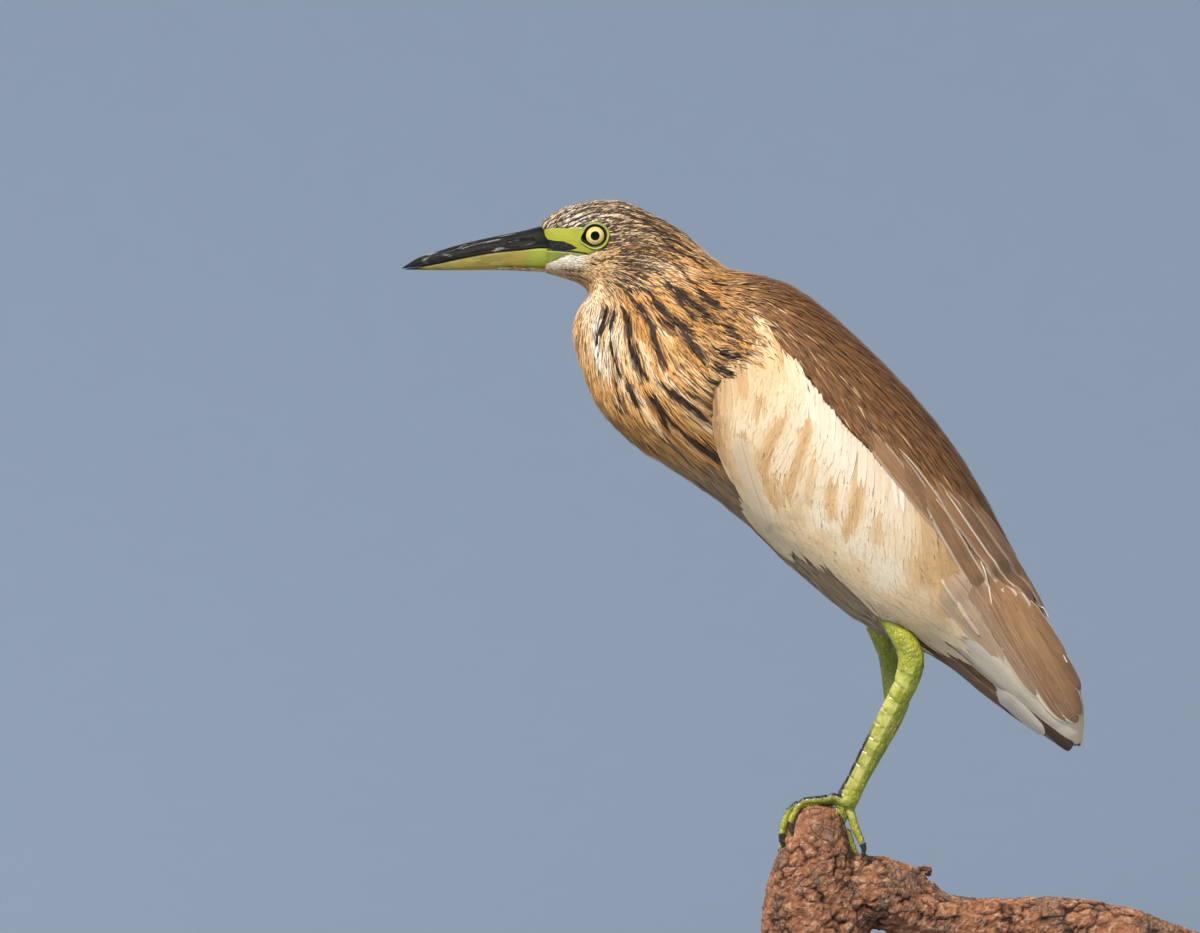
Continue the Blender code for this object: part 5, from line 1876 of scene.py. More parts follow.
@dataclass(frozen=True)
class Chin:
    """The strip of short feathers that runs forward under the lower half of the bill.

    It narrows to its front, where the feathers also draw together, and its edges curl up.
    """

    tract: Tract = Tract(Zone.HEAD, cover=1.0, proud=0.25, camber=0.2)
    count: int = 700
    front: float = -164.5
    back: float = -139.0
    height: float = 343.9
    drop: float = 1.3
    curl: float = 0.9
    half_width: float = 3.4
    widening: float = 1.6
    share_of_bill: float = 0.82
    lengths: Place = (2.4, 3.8)
    widths: Place = (0.4, 0.6)
    depth: float = 0.5
    warm: float = 0.42
    umber: Place = (0.15, 0.55)
    dark: float = 0.8
    dark_share: float = 0.22

    def lay(self, rng: np.random.Generator, shares: Array) -> tuple[Array, Array, Array]:
        """Where the feathers lie.

        Args:
            rng: The source of chance.
            shares: How far along a feather each of its rings lies.

        Returns:
            The points, normals and directions, with the rings along the second axis.
        """
        x = rng.uniform(self.front, self.back, self.count)
        back = (x - self.front) / (self.back - self.front)
        around = rng.uniform(-1.0, 1.0, self.count)
        half_width = (self.half_width + self.widening * back) * self.share_of_bill
        y = half_width * around * np.minimum(1.0, 0.35 + 2.0 * back)
        z = self.height - self.drop * back + self.curl * np.abs(y / half_width) ** 2.2
        length = rng.uniform(*self.lengths, self.count)
        ones = np.ones(self.count)
        ways = unit(np.stack([ones, 0.05 * around, -0.10 * ones], 1))
        ups = unit(np.stack([-0.1 * ones, 0.9 * around, -1.0 * ones], 1))
        paths = np.stack([x, y, z], 1)[:, None] + ways[:, None] * (length[:, None] * shares)[..., None]
        normals, ways = (np.repeat(v[:, None], len(shares), axis=1) for v in (ups, ways))
        return paths, normals, ways


@dataclass
class Coat:
    """The small feathers, as closed vanes that lie on the skin and overlap like shingles.

    The fields that end in from or to are places along the body, counted in sections. From brown
    on the plumage is the mantle's, and from brownish on the shoulder's.
    """

    plumage: Plumage
    finish: bpy.types.Material
    rng: np.random.Generator
    ring_shares: tuple[float, ...] = (0.0, 0.3, 0.6, 0.85, 1.0)
    rim_sink: float = 2.4
    patch: float = 0.003
    crease: float = 72.0
    most_triangles: int = 198000
    head_to: float = 4.8
    neck_to: float = 8.2
    shoulder_from: float = 6.5
    mantle_from: float = 8.0
    belly_from: float = 10.6
    brown: float = 0.72
    brownish: float = 0.28
    shoulder_bottom: float = 298.0
    wing_covers: float = 296.0
    tail_x: float = 55.0
    chin: Chin = Chin()

    def zones(self) -> Array:
        """The tract of each face of the surface, as a number in the order of Zone."""
        surface, anatomy = self.plumage.surface, self.plumage.anatomy
        middle = surface.middles()
        middle = middle + self.rng.normal(0.0, 0.6, middle.shape)
        winged = anatomy.on_wing(middle, surface.face_normals)
        lie = self.plumage.lie(middle, winged)
        station, angle = anatomy.girth(middle)
        under = np.abs(angle) > 1.6
        umber = lie[:, 6]
        zone = np.full(len(middle), ZONES.index(Zone.BREAST))
        zone[station < self.neck_to] = ZONES.index(Zone.NECK)
        zone[station < self.head_to] = ZONES.index(Zone.HEAD)
        belly = (station > self.belly_from) & ((umber < self.brown) | under) & ~winged
        zone[belly] = ZONES.index(Zone.BELLY)
        high = middle[:, 2] > self.shoulder_bottom
        zone[(umber > self.brownish) & (station > self.shoulder_from) & high] = ZONES.index(Zone.SHOULDER)
        mantle = (umber > self.brown) & ~winged & ~under & (station > self.mantle_from)
        zone[mantle] = ZONES.index(Zone.MANTLE)
        zone[winged] = ZONES.index(Zone.COVERTS)
        past_coverts = side_of(middle[:, [0, 2]], COVERTS_END)
        quills = winged & (past_coverts > self.rng.normal(5.0, 5.0, len(middle)))
        zone[quills | (middle[:, 0] < anatomy.bill_base)] = -1
        zone[(anatomy.bare(middle) > 0.5) | (under & (middle[:, 0] > self.tail_x))] = -1
        return zone

    def build(self) -> None:
        """Makes every tract, the left side and the right side each as a piece."""
        zones = self.zones()
        for tract in TRACTS:
            self.grow(tract, zones == ZONES.index(tract.zone))
        self.grow_chin()

    def grow(self, tract: Tract, faces: Array) -> None:
        """Makes one tract.

        Args:
            tract: Its habit.
            faces: Which faces of the surface it grows on.
        """
        surface = self.plumage.surface
        middle = surface.middles()
        winged = np.full(len(middle), tract.zone is Zone.COVERTS)
        lie = self.plumage.lie(middle, winged)
        size = lie[:, 2] * tract.longer * lie[:, 3] * tract.wider
        chance = surface.areas * faces * tract.cover / size
        roots, ups = self.plumage.roots(chance, int(chance.sum()), self.rng)
        count = len(roots)
        winged = np.full(count, tract.zone is Zone.COVERTS)
        lie = self.plumage.lie(roots, winged)
        length = lie[:, 2] * tract.longer * self.rng.uniform(0.75, 1.25, count)
        width = lie[:, 3] * tract.wider * self.rng.uniform(0.7, 1.3, count)
        turn = np.radians(self.rng.normal(0.0, tract.ragged, count))
        shares = np.diff(self.ring_shares)
        paths, normals, ways = self.plumage.walk(roots, ups, length[:, None] * shares, turn, winged)
        if tract.zone is not Zone.COVERTS:
            flat = paths.reshape(-1, 3)
            hidden = within(flat[:, [0, 2]], WING_RIM + WING_TOP) & (flat[:, 2] < self.wing_covers)
            hidden = hidden.reshape(count, -1)
            keep = ~hidden[:, 2]
            length = length * np.where(hidden[:, 3], 0.6, np.where(hidden[:, 4], 0.85, 1.0))
            roots, ups, length, width, turn, lie, winged = (
                part[keep] for part in (roots, ups, length, width, turn, lie, winged)
            )
            count = len(roots)
            paths, normals, ways = self.plumage.walk(roots, ups, length[:, None] * shares, turn, winged)
        marks = self.plumage.marks(paths[:, 3], winged)
        points, faces = self.vanes(tract, paths, normals, ways, width, lie[:, 4])
        self.pieces(tract, tract.zone.value, roots, points, faces, marks)

    def grow_chin(self) -> None:
        """Makes the strip of short feathers under the bill."""
        chin, count = self.chin, self.chin.count
        paths, normals, ways = chin.lay(self.rng, np.array(self.ring_shares))
        marks = {
            "warm": np.full(count, chin.warm),
            "umber": self.rng.uniform(*chin.umber, count),
            "dark": chin.dark * (self.rng.random(count) < chin.dark_share),
        }
        width, depth = self.rng.uniform(*chin.widths, count), np.full(count, chin.depth)
        points, faces = self.vanes(chin.tract, paths, normals, ways, width, depth)
        self.pieces(chin.tract, "chin", paths[:, 0], points, faces, marks)

    def vanes(
        self, tract: Tract, paths: Array, normals: Array, ways: Array, width: Array, depth: Array
    ) -> tuple[Array, Array]:
        """The meshes of a tract's feathers.

        Args:
            tract: Its habit.
            paths: The points of every feather's path on the surface.
            normals: The normals there.
            ways: The directions there.
            width: The feathers' widths.
            depth: How deep their roots lie.

        Returns:
            The points of each feather, and the triangles of one.
        """
        count, rings = paths.shape[:2]
        shares = np.array(self.ring_shares)
        across = unit(np.cross(normals, ways))
        tip_height = tract.proud - self.rng.uniform(0.0, tract.uneven, count) * depth
        rise = 1.0 - (1.0 - shares) ** 1.4
        height = -depth[:, None] + (depth + tip_height)[:, None] * rise
        if tract.zone is not Zone.COVERTS:
            flat = paths.reshape(-1, 3)
            height -= self.rim_sink * self.plumage.anatomy.under_rim(flat).reshape(count, rings)
        profile = np.array(tract.tip.value)
        half = width[:, None] * profile / 2
        lift = width[:, None] * profile * tract.camber
        body = paths[:, :-1] + normals[:, :-1] * height[:, :-1, None]
        right = body + across[:, :-1] * half[..., None]
        left = body - across[:, :-1] * half[..., None]
        ridge = body + normals[:, :-1] * lift[..., None]
        tip = paths[:, -1] + normals[:, -1] * height[:, -1, None]
        sections = np.stack([right, ridge, left], 2).reshape(count, -1, 3)
        points = np.concatenate([sections, tip[:, None]], 1)
        last = 3 * (rings - 2)
        point = [[last + k, last + (k + 1) % 3, last + 3] for k in range(3)]
        return points, np.vstack([ring_faces(rings - 1, 3), point, [[0, 2, 1]]])

    def pieces(
        self, tract: Tract, word: str, roots: Array, points: Array, faces: Array, marks: dict[str, Array]
    ) -> None:
        """Makes the objects of a tract.

        Args:
            tract: Its habit.
            word: Its name.
            roots: Where its feathers grow.
            points: Their points.
            faces: The triangles of one feather.
            marks: Their marks.
        """
        each = points.shape[1]
        along = np.append(np.repeat(self.ring_shares[:-1], 3), 1.0)
        across = np.append(np.tile([0.5, 0.0, -0.5], len(self.ring_shares) - 1), 0.0)
        station, angle = self.plumage.anatomy.girth(roots)
        root_uv = on_map(station, angle)
        own_uv = np.stack([across, along - 0.5], 1)[faces.ravel()] * self.patch
        for name, side in (("left", roots[:, 1] < 0), ("right", roots[:, 1] >= 0)):
            chosen = np.flatnonzero(side)
            most = self.most_triangles // len(faces)
            for part in range(0, len(chosen), most):
                own = chosen[part : part + most]
                count = len(own)
                label = f"coat_{word}_{name}" + (f"_{part // most + 1}" if len(chosen) > most else "")
                triangles = (faces[None] + (np.arange(count) * each)[:, None, None]).reshape(-1, 3)
                corners = points[own].reshape(-1, 3)
                piece = make_piece(label, corners, triangles, self.finish, self.crease)
                shades = self.varied(tract, marks, own)
                spread = {key: np.repeat(values[own], each) for key, values in shades.items()}
                carry(piece, along=np.tile(along, count), **spread)
                lay_map(piece, (root_uv[own][:, None] + own_uv[None]).reshape(-1, 2))

    def varied(self, tract: Tract, marks: dict[str, Array], own: Array) -> dict[str, Array]:
        """The marks with some chance in each feather, and vary, its own shade.

        Args:
            tract: Its habit.
            marks: The marks of all its feathers.
            own: Which feathers get their share of chance now.

        Returns:
            The marks of all, changed for those.
        """
        count = len(own)
        out = {key: values.copy() for key, values in marks.items()}
        out["warm"][own] += self.rng.normal(0.0, tract.warm_spread, count)
        for key in ("umber", "dark"):
            share = out[key][own]
            out[key][own] = share + tract.clumped * ((self.rng.random(count) < share) - share)
        out["vary"] = np.zeros(len(marks["warm"]))
        out["vary"][own] = self.rng.uniform(*tract.shades, count)
        return out


# ---------------------------------------------------------------- quills
@dataclass(frozen=True)
class Quill:
    """One large feather, from its root to its tip on the side of the bird.

    Level is how far it lies off the outer form, and bend how far its middle bows to the belly.
    """

    root: Place
    tip: Place
    width: float
    level: float
    warm: float = 0.2
    umber: float = 0.0
    dark: float = 0.0
    pale: float = 0.5
    bend: float = 0.0
    near: float | None = None


WING_QUILLS = (
    # the rounded lobe that hangs over the breast; its orange buff is painted shade
    Quill((-61.5, 288.0), (-44.2, 228.8), 12.0, -0.3, warm=1.0, umber=0.14, pale=0.0, bend=2.4),
    # primaries and secondaries, a white band under the tertials
    Quill((8.0, 198.5), (88.0, 139.6), 6.5, -1.1, warm=0.8, umber=0.4, pale=0.2, bend=-0.6),
    Quill((12.0, 199.0), (89.2, 140.6), 8.0, -0.8, warm=0.8, umber=0.05, pale=0.2, bend=-0.6),
    Quill((20.0, 197.0), (89.4, 142.6), 8.0, -0.55, warm=0.75, pale=0.2, bend=-0.6),
    Quill((26.0, 196.0), (83.0, 147.0), 8.0, -0.35, warm=0.75, pale=0.2, bend=-0.8),
    Quill((32.0, 195.0), (72.0, 156.5), 8.0, -0.2, warm=0.75, pale=0.2, bend=-1.0),
    # tertials
    Quill((22.0, 214.0), (56.0, 176.5), 10.0, -0.05, warm=1.0, umber=0.6, pale=0.4, bend=0.2),
    Quill((26.0, 222.0), (64.0, 172.5), 12.0, 0.1, warm=0.6, umber=0.7, pale=0.6, bend=0.4),
    Quill((32.0, 226.0), (74.0, 159.5), 12.5, 0.25, warm=0.6, umber=0.85, pale=0.8, bend=0.4),
    Quill((38.0, 226.0), (84.0, 149.8), 12.5, 0.4, warm=0.6, umber=0.95, dark=0.3, pale=1.0, bend=0.2),
    Quill((45.0, 223.0), (88.0, 149.2), 12.5, 0.55, warm=0.55, umber=1.0, dark=0.3, pale=1.0, bend=0.0),
    Quill((52.0, 217.0), (89.8, 152.6), 12.0, 0.7, warm=0.7, umber=1.0, dark=0.3, pale=1.0, bend=-0.6),
    Quill((60.0, 208.0), (89.4, 163.0), 11.0, 0.8, warm=0.7, umber=1.0, dark=0.2, pale=1.0, bend=-1.0),
    Quill((62.0, 204.0), (83.0, 176.0), 10.0, 0.9, warm=0.55, umber=1.0, pale=0.6, bend=-1.0),
    # pale bases between them
    Quill((34.0, 205.0), (45.5, 186.5), 1.8, 0.45, warm=0.8, umber=0.12, pale=0.0, bend=0.8),
    Quill((28.0, 213.0), (36.5, 199.0), 1.4, 0.3, warm=0.8, umber=0.2, pale=0.0, bend=0.6),
    Quill((80.4, 178.6), (82.8, 174.0), 1.0, 1.1, warm=0.3, pale=0.0),
)
SCAPULARS = (
    Quill((-6.0, 278.0), (32.0, 230.5), 8.0, -0.2, warm=0.2, umber=1.0, pale=0.3, bend=0.5),
    Quill((4.0, 272.0), (41.0, 217.5), 8.0, -0.1, warm=0.2, umber=1.0, pale=0.3, bend=0.5),
    Quill((14.0, 264.0), (50.7, 200.0), 8.5, 0.1, warm=0.2, umber=1.0, pale=0.6, bend=0.6),
    Quill((24.0, 256.0), (60.2, 206.6), 8.5, 0.15, warm=0.2, umber=1.0, pale=0.3, bend=0.4),
    Quill((30.0, 254.0), (70.0, 201.4), 8.5, 0.3, warm=0.2, umber=1.0, pale=0.4, bend=0.8),
    Quill((42.0, 246.0), (72.0, 205.0), 8.5, 0.35, warm=0.2, umber=1.0, pale=0.3, bend=-0.6),
    Quill((50.0, 236.0), (76.5, 196.0), 8.0, 0.4, warm=0.2, umber=1.0, pale=0.3, bend=-1.0),
    # pale edges of single feathers
    Quill((10.0, 268.0), (29.6, 242.5), 0.8, 0.35, warm=0.8, umber=0.35, pale=0.0, bend=-0.6),
    Quill((27.5, 254.0), (60.4, 206.6), 0.9, 0.6, warm=0.6, umber=0.15, pale=0.0, bend=0.6),
    Quill((24.0, 248.0), (35.0, 233.0), 0.7, 0.5, warm=0.8, umber=0.4, pale=0.0, bend=-0.4),
    Quill((45.6, 220.0), (50.6, 199.6), 0.8, 0.7, warm=0.6, umber=0.1, pale=0.0, bend=-0.5),
    Quill((71.5, 199.6), (74.6, 193.4), 0.9, 0.95, warm=0.6, umber=0.1, pale=0.0, bend=-0.4),
)
TAIL_QUILLS = (
    # the first two are brown as painted shade: the undertail that lies in shade under the wing
    Quill((20.0, 182.0), (61.0, 151.5), 9.0, -1.2, warm=0.0, umber=1.0, pale=0.2, near=9.0),
    Quill((30.0, 176.0), (65.0, 148.0), 9.0, -1.4, warm=0.0, umber=1.0, pale=0.2, near=4.0),
    Quill((48.0, 165.0), (71.0, 141.8), 8.0, -1.0, warm=0.6, near=3.0),
    Quill((50.0, 167.0), (72.8, 142.8), 8.0, -0.8, warm=0.6, near=7.0),
    # the last two are dark brown with dark tips, partly their own dusky colour and partly painted shade
    Quill((54.0, 165.0), (86.2, 134.8), 9.0, -1.2, warm=0.0, umber=1.0, dark=0.6, pale=0.2, near=4.0),
    Quill((56.0, 168.0), (86.8, 136.4), 8.0, -1.1, warm=0.0, umber=1.0, dark=0.6, pale=0.2, near=7.0),
)


@dataclass
class Quills:
    """The large feathers of wings, shoulders and tail, each a thin cambered blade."""

    plumage: Plumage
    finish: bpy.types.Material
    rings: int = 26
    columns: int = 9
    thickness: float = 0.3
    camber: float = 0.25
    root_drop: float = 1.4
    tip_from: float = 0.82
    tip_length: float = 0.18
    crease: float = 60.0

    def blade(self, quill: Quill, side: int) -> tuple[Array, Array, dict[str, Array]]:
        """The mesh of one feather.

        Args:
            quill: Its measures.
            side: Which side of the bird it lies on.

        Returns:
            Its points, its faces and its marks.
        """
        surface = self.plumage.surface
        t = 1.0 - (1.0 - np.linspace(0.0, 1.0, self.rings)) ** 1.5
        root, tip = np.array(quill.root), np.array(quill.tip)
        run = unit(tip - root)
        down = np.array([run[1], -run[0]])
        places = root + (tip - root) * t[:, None] + down * (quill.bend * 4 * t * (1 - t))[:, None]
        if quill.near is None:
            here = surface.beside(*quill.root, side)
        else:
            here = surface.nearest(np.array([[root[0], side * quill.near, root[1]]]))[0][0]
        centres, ups = [], []
        for x, z in places:
            place, up = surface.nearest(np.array([[x, here[1], z]]))
            here = place[0]
            centres.append(here)
            ups.append(up[0])
        centres, ups = np.array(centres), unit(np.array(ups))
        ways = unit(np.gradient(centres, axis=0))
        across = unit(np.cross(ups, ways)) * side
        end = np.clip((t - self.tip_from) / self.tip_length, 0.0, 1.0)
        rounded = np.sqrt(np.maximum(1.0 - end**2.2, 0.004))
        width = quill.width * np.minimum(1.0, 0.5 + 1.8 * t) * rounded
        columns = np.linspace(-1.0, 1.0, self.columns)
        half = columns[None, :, None] * width[:, None, None] / 2
        flat = centres[:, None] + across[:, None] * half
        laid, normals = surface.nearest(flat.reshape(-1, 3))
        laid, normals = laid.reshape(flat.shape), normals.reshape(flat.shape)
        level = quill.level - self.root_drop * smooth_step(t, 0.35, 0.0)
        height = level[:, None] + self.camber * (1.0 - columns**2) * (width / quill.width)[:, None]
        body = self.thickness / 2 * (1.0 - 0.6 * np.abs(columns) ** 3)
        top = laid + normals * (height + body)[..., None]
        under = laid + normals * (height - body)[..., None]
        ring = np.concatenate([top, under[:, ::-1]], 1)
        around = 2 * self.columns
        points = ring.reshape(-1, 3)
        faces = tube_faces(self.rings, around)
        if side == RIGHT:
            faces = faces[:, ::-1]
        both = np.concatenate([columns, columns[::-1]])
        marks = {"along": np.repeat(t, around), "across": np.tile(both, self.rings)}
        for key in ("warm", "umber", "dark", "pale"):
            marks[key] = np.full(len(points), getattr(quill, key))
        marks["dark"] = marks["dark"] * smooth_step(marks["along"], 0.4, 0.9)
        return points, faces, marks

    def build(self, name: str, quills: tuple[Quill, ...], slot: str, cell: int) -> None:
        """Makes a group of feathers on both sides as one piece.

        Args:
            name: The piece's name.
            quills: The feathers.
            slot: Not used.
            cell: How many feathers fit along each side of its bake map.
        """
        points, faces, marks, places, count = [], [], [], [], 0
        for k, (quill, side) in enumerate((q, s) for q in quills for s in (LEFT, RIGHT)):
            own_points, own_faces, own_marks = self.blade(quill, side)
            own_marks["vary"] = np.full(len(own_points), (k * 0.37) % 1.0)
            corner = own_faces.ravel()
            under = (np.arange(len(own_points)) % (2 * self.columns)) >= self.columns
            u = 0.25 + 0.2 * own_marks["across"] + 0.5 * under
            v = own_marks["along"]
            own_uv = np.stack([k % cell + 0.05 + 0.9 * u, k // cell + 0.05 + 0.9 * v], 1) / cell
            points.append(own_points)
            faces.append(own_faces + count)
            marks.append(own_marks)
            places.append(own_uv[corner])
            count += len(own_points)
        piece = make_piece(name, np.vstack(points), np.vstack(faces), self.finish, self.crease)
        carry(piece, **{key: np.concatenate([m[key] for m in marks]) for key in marks[0]})
        lay_map(piece, np.vstack(places))


# ---------------------------------------------------------------- bill
BILL_DARK = BillFinish(
    "bill_dark",
    base=srgb(9, 9, 11),
    second=srgb(24, 24, 28),
    tip=srgb(9, 9, 10),
    scratch=srgb(150, 146, 138),
    edge=srgb(134, 112, 70),
    tip_from=-190.0,
    tip_to=-200.0,
    scratches=0.8,
    edge_share=0.7,
)
BILL_PALE = BillFinish(
    "bill_pale",
    base=srgb(164, 142, 68),
    second=srgb(136, 124, 62),
    tip=srgb(36, 32, 28),
    scratch=srgb(198, 188, 132),
    edge=srgb(186, 140, 66),
    tip_from=-190.0,
    tip_to=-198.0,
    scratches=0.4,
    edge_share=0.75,
    root=srgb(152, 158, 58),
)


BillRow = tuple[float, float, float, float]


@dataclass
class Bill:
    """Both halves of the bill. A row is x, the height of the gape, the far height, half width."""

    upper: tuple[BillRow, ...] = (
        (-202.0, 343.9, 344.3, 0.3),
        (-195.6, 344.7, 348.3, 1.5),
        (-189.2, 345.6, 350.6, 2.2),
        (-176.3, 348.5, 354.5, 3.2),
        (-163.4, 350.9, 357.5, 4.1),
        (-150.5, 352.2, 360.1, 4.9),
        (-142.7, 352.9, 362.0, 5.4),
        (-138.5, 352.7, 361.6, 5.2),
        (-134.5, 352.6, 359.6, 3.4),
    )
    lower: tuple[BillRow, ...] = (
        (-200.6, 343.75, 343.45, 0.3),
        (-195.6, 344.3, 343.4, 1.2),
        (-189.2, 345.2, 343.2, 1.9),
        (-176.3, 348.1, 343.2, 2.8),
        (-163.4, 350.5, 343.3, 3.6),
        (-150.5, 351.8, 343.0, 4.4),
        (-142.7, 352.4, 342.9, 5.2),
        (-138.5, 352.3, 343.4, 5.0),
        (-134.5, 352.2, 345.4, 3.4),
    )
    nostril: tuple[Place, ...] = ((-156.2, 354.7), (-151.0, 355.5), (-145.6, 355.9))
    groove: tuple[Place, ...] = ((-181.0, 350.6), (-170.0, 353.1), (-157.0, 355.2), (-146.0, 356.4))
    rings: int = 150
    arch: int = 30
    floor: int = 7

    def half(self, rows: tuple[BillRow, ...], roundness: float) -> tuple[Array, Array, Array]:
        """One half of the bill.

        Args:
            rows: Its measures.
            roundness: The power that shapes its section, 2 for an ellipse.

        Returns:
            Its points, its faces, and for each point how high it lies in its section.
        """
        x, gape, far, wide = through(rows, self.rings).T[..., None]
        turn = np.linspace(0.0, np.pi, self.arch)
        across, rise = np.cos(turn), np.sin(turn)
        side = wide * np.sign(across) * np.abs(across) ** (2 / roundness)
        height = gape + (far - gape) * np.abs(rise) ** (2 / roundness)
        inner = np.linspace(-0.86, 0.86, self.floor)
        side = np.concatenate([side, wide * inner], 1)
        roof = gape + 0.32 * (1 - inner**2) * np.minimum(np.abs(far - gape), 2.0)
        height = np.concatenate([height, roof], 1)
        points = np.stack([np.broadcast_to(x, side.shape), side, height], -1).reshape(-1, 3)
        faces = tube_faces(self.rings, self.arch + self.floor)
        share = np.concatenate([np.abs(rise), np.zeros(self.floor)])
        return points, facing_out(points, faces), np.tile(share, self.rings)

    def build(self) -> None:
        """Both halves, with the nostrils and the groove cut in."""
        points, faces, share = self.half(self.upper, 1.75)
        places = points[:, [0, 2]]
        slit, groove = to_line(places, self.nostril), to_line(places, self.groove)
        flank = smooth_step(np.abs(points[:, 1]), 0.9, 1.6)
        sunk = 0.85 * smooth_step(slit, 0.75, 0.15) + 0.22 * smooth_step(groove, 1.1, 0.2)
        points[:, 1] -= np.sign(points[:, 1]) * sunk * flank
        upper = make_piece("bill_upper_horn", points, faces, BILL_DARK.make())
        rim = 0.12 * smooth_step(slit, 1.0, 0.7) * smooth_step(slit, 0.35, 0.6)
        worn = smooth_step(share, 0.16, 0.04) * smooth_step(points[:, 0], -185.0, -160.0)
        carry(upper, edge=np.maximum(rim, 0.35 * worn))
        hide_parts("bill_upper")
        points, faces, share = self.half(self.lower, 1.9)
        lower = make_piece("bill_lower_horn", points, faces, BILL_PALE.make())
        carry(lower, edge=smooth_step(share, 0.80, 0.97) * smooth_step(points[:, 0], -186.0, -176.0))
        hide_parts("bill_lower")


# ---------------------------------------------------------------- eyes
@dataclass
class Eyes:
    """Both eyes, each a globe in its socket with a ring of bare lid round it.

    Front is the angle of the corner at the bill. Both corners are drawn out, the narrower the
    higher their power, and the lid carries a row of low beads.
    """

    surface: Surface
    centre: Point = (-118.7, 8.6, 357.6)
    radius: float = 5.8
    axis: Place = (-119.1, 357.8)
    outer_rim: float = 6.1
    crest: float = 5.25
    inner_rim: float = 4.4
    front: float = math.radians(196.0)
    corner_power: int = 14
    bead_count: int = 26
    bead_height: float = 0.06
    crest_at: float = 0.52
    crest_height: float = 0.75
    buried: float = 0.35
    lid_thickness: float = 0.5
    green_heights: Place = (356.0, 362.0)
    past_iris: float = 9.0
    globe_rings: int = 56
    globe_around: int = 96
    lid_around: int = 120

    def build(self) -> None:
        """Both globes and both lids."""
        globe_finish, lid_finish = EyeFinish().make(), LidFinish().make()
        for name, side in (("left", LEFT), ("right", RIGHT)):
            self.globe(name, side, globe_finish)
            self.lid(name, side, lid_finish)

    def globe(self, name: str, side: int, finish: bpy.types.Material) -> None:
        """One globe, its poles on the axis it looks along."""
        turns, steps = self.globe_around, self.globe_rings
        polar = np.linspace(0.02, np.pi - 0.02, steps)[:, None]
        turn = np.linspace(0.0, 2 * np.pi, turns, endpoint=False)[None]
        outwards = side * np.cos(polar) + 0 * turn
        way = np.stack([np.sin(polar) * np.cos(turn), outwards, np.sin(polar) * np.sin(turn)], -1)
        x, y, z = self.centre
        points = (way * self.radius).reshape(-1, 3) + np.array([x, side * y, z])
        faces = facing_out(points - points.mean(axis=0), tube_faces(steps, turns))
        piece = make_piece(f"eye_globe_{name}", points, faces, finish)
        ring = np.hypot(points[:, 0] - self.axis[0], points[:, 2] - self.axis[1])
        hidden = side * points[:, 1] < self.centre[1]
        carry(piece, ring=np.where(hidden, self.past_iris, ring))
        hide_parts(f"eye_{name}")

    def lid(self, name: str, side: int, finish: bpy.types.Material) -> None:
        """One ring of lid, from the skin over a low crest down to the globe."""
        turns = self.lid_around
        turn = np.linspace(0.0, 2 * np.pi, turns, endpoint=False)
        corner = np.maximum(np.cos(turn - self.front), 0.0) ** self.corner_power
        back = np.maximum(np.cos(turn - self.front - np.pi), 0.0) ** self.corner_power
        beads = self.bead_height * np.sin(turn * self.bead_count)
        rows, shares = [], (0.0, 0.18, 0.36, 0.52, 0.66, 0.8, 0.92, 1.0)
        for share in shares:
            if share < self.crest_at:
                radius = self.outer_rim + (self.crest - self.outer_rim) * share / self.crest_at
            else:
                fall = (self.inner_rim - self.crest) * (share - self.crest_at)
                radius = self.crest + fall / (1.0 - self.crest_at)
            radius = radius + corner * (1.3 * (1 - share) + 0.35 * share) + back * 0.4 * (1 - share)
            rows.append(radius)
        radius = np.array(rows)
        x = self.axis[0] + radius * np.cos(turn)
        z = self.axis[1] + radius * np.sin(turn)
        reach = np.hypot(x - self.centre[0], z - self.centre[2])
        globe = self.centre[1] + np.sqrt(np.maximum(self.radius**2 - reach**2, 0.6))
        skin = np.array([[abs(self.surface.beside(a, b, side)[1]) for a, b in zip(x[0], z[0])]])
        share = np.array(shares)[:, None]
        flat = skin + (globe[-1:] - skin) * smooth_step(share, 0.0, 1.0)
        swell = self.crest_height * np.sin(np.pi * np.clip(share / 0.9, 0, 1)) ** 0.8
        y = flat + swell - self.buried * (share == 0.0) + beads * np.sin(np.pi * share)
        y[-1] = globe[-1] + 0.05
        top = np.stack([x, side * y, z], -1)
        inside = top.copy()
        inside[..., 1] -= side * self.lid_thickness
        points = np.concatenate([top, inside[::-1]]).reshape(-1, 3)
        rings = 2 * len(shares)
        faces = ring_faces(rings, turns)
        closing = ring_faces(2, turns)
        closing = np.where(closing >= turns, closing - turns, closing + (rings - 1) * turns)
        faces = np.vstack([faces, closing])
        if side == LEFT:
            faces = faces[:, ::-1]
        piece = make_piece(f"eyelid_{name}", points, faces, finish)
        rim = share + corner * 0.35 * smooth_step(share, 0.2, 0.6)
        rim = np.concatenate([rim, rim[::-1]]).ravel()
        high = smooth_step(z, *self.green_heights)
        carry(piece, rim=rim, high=np.concatenate([high, high[::-1]]).ravel())


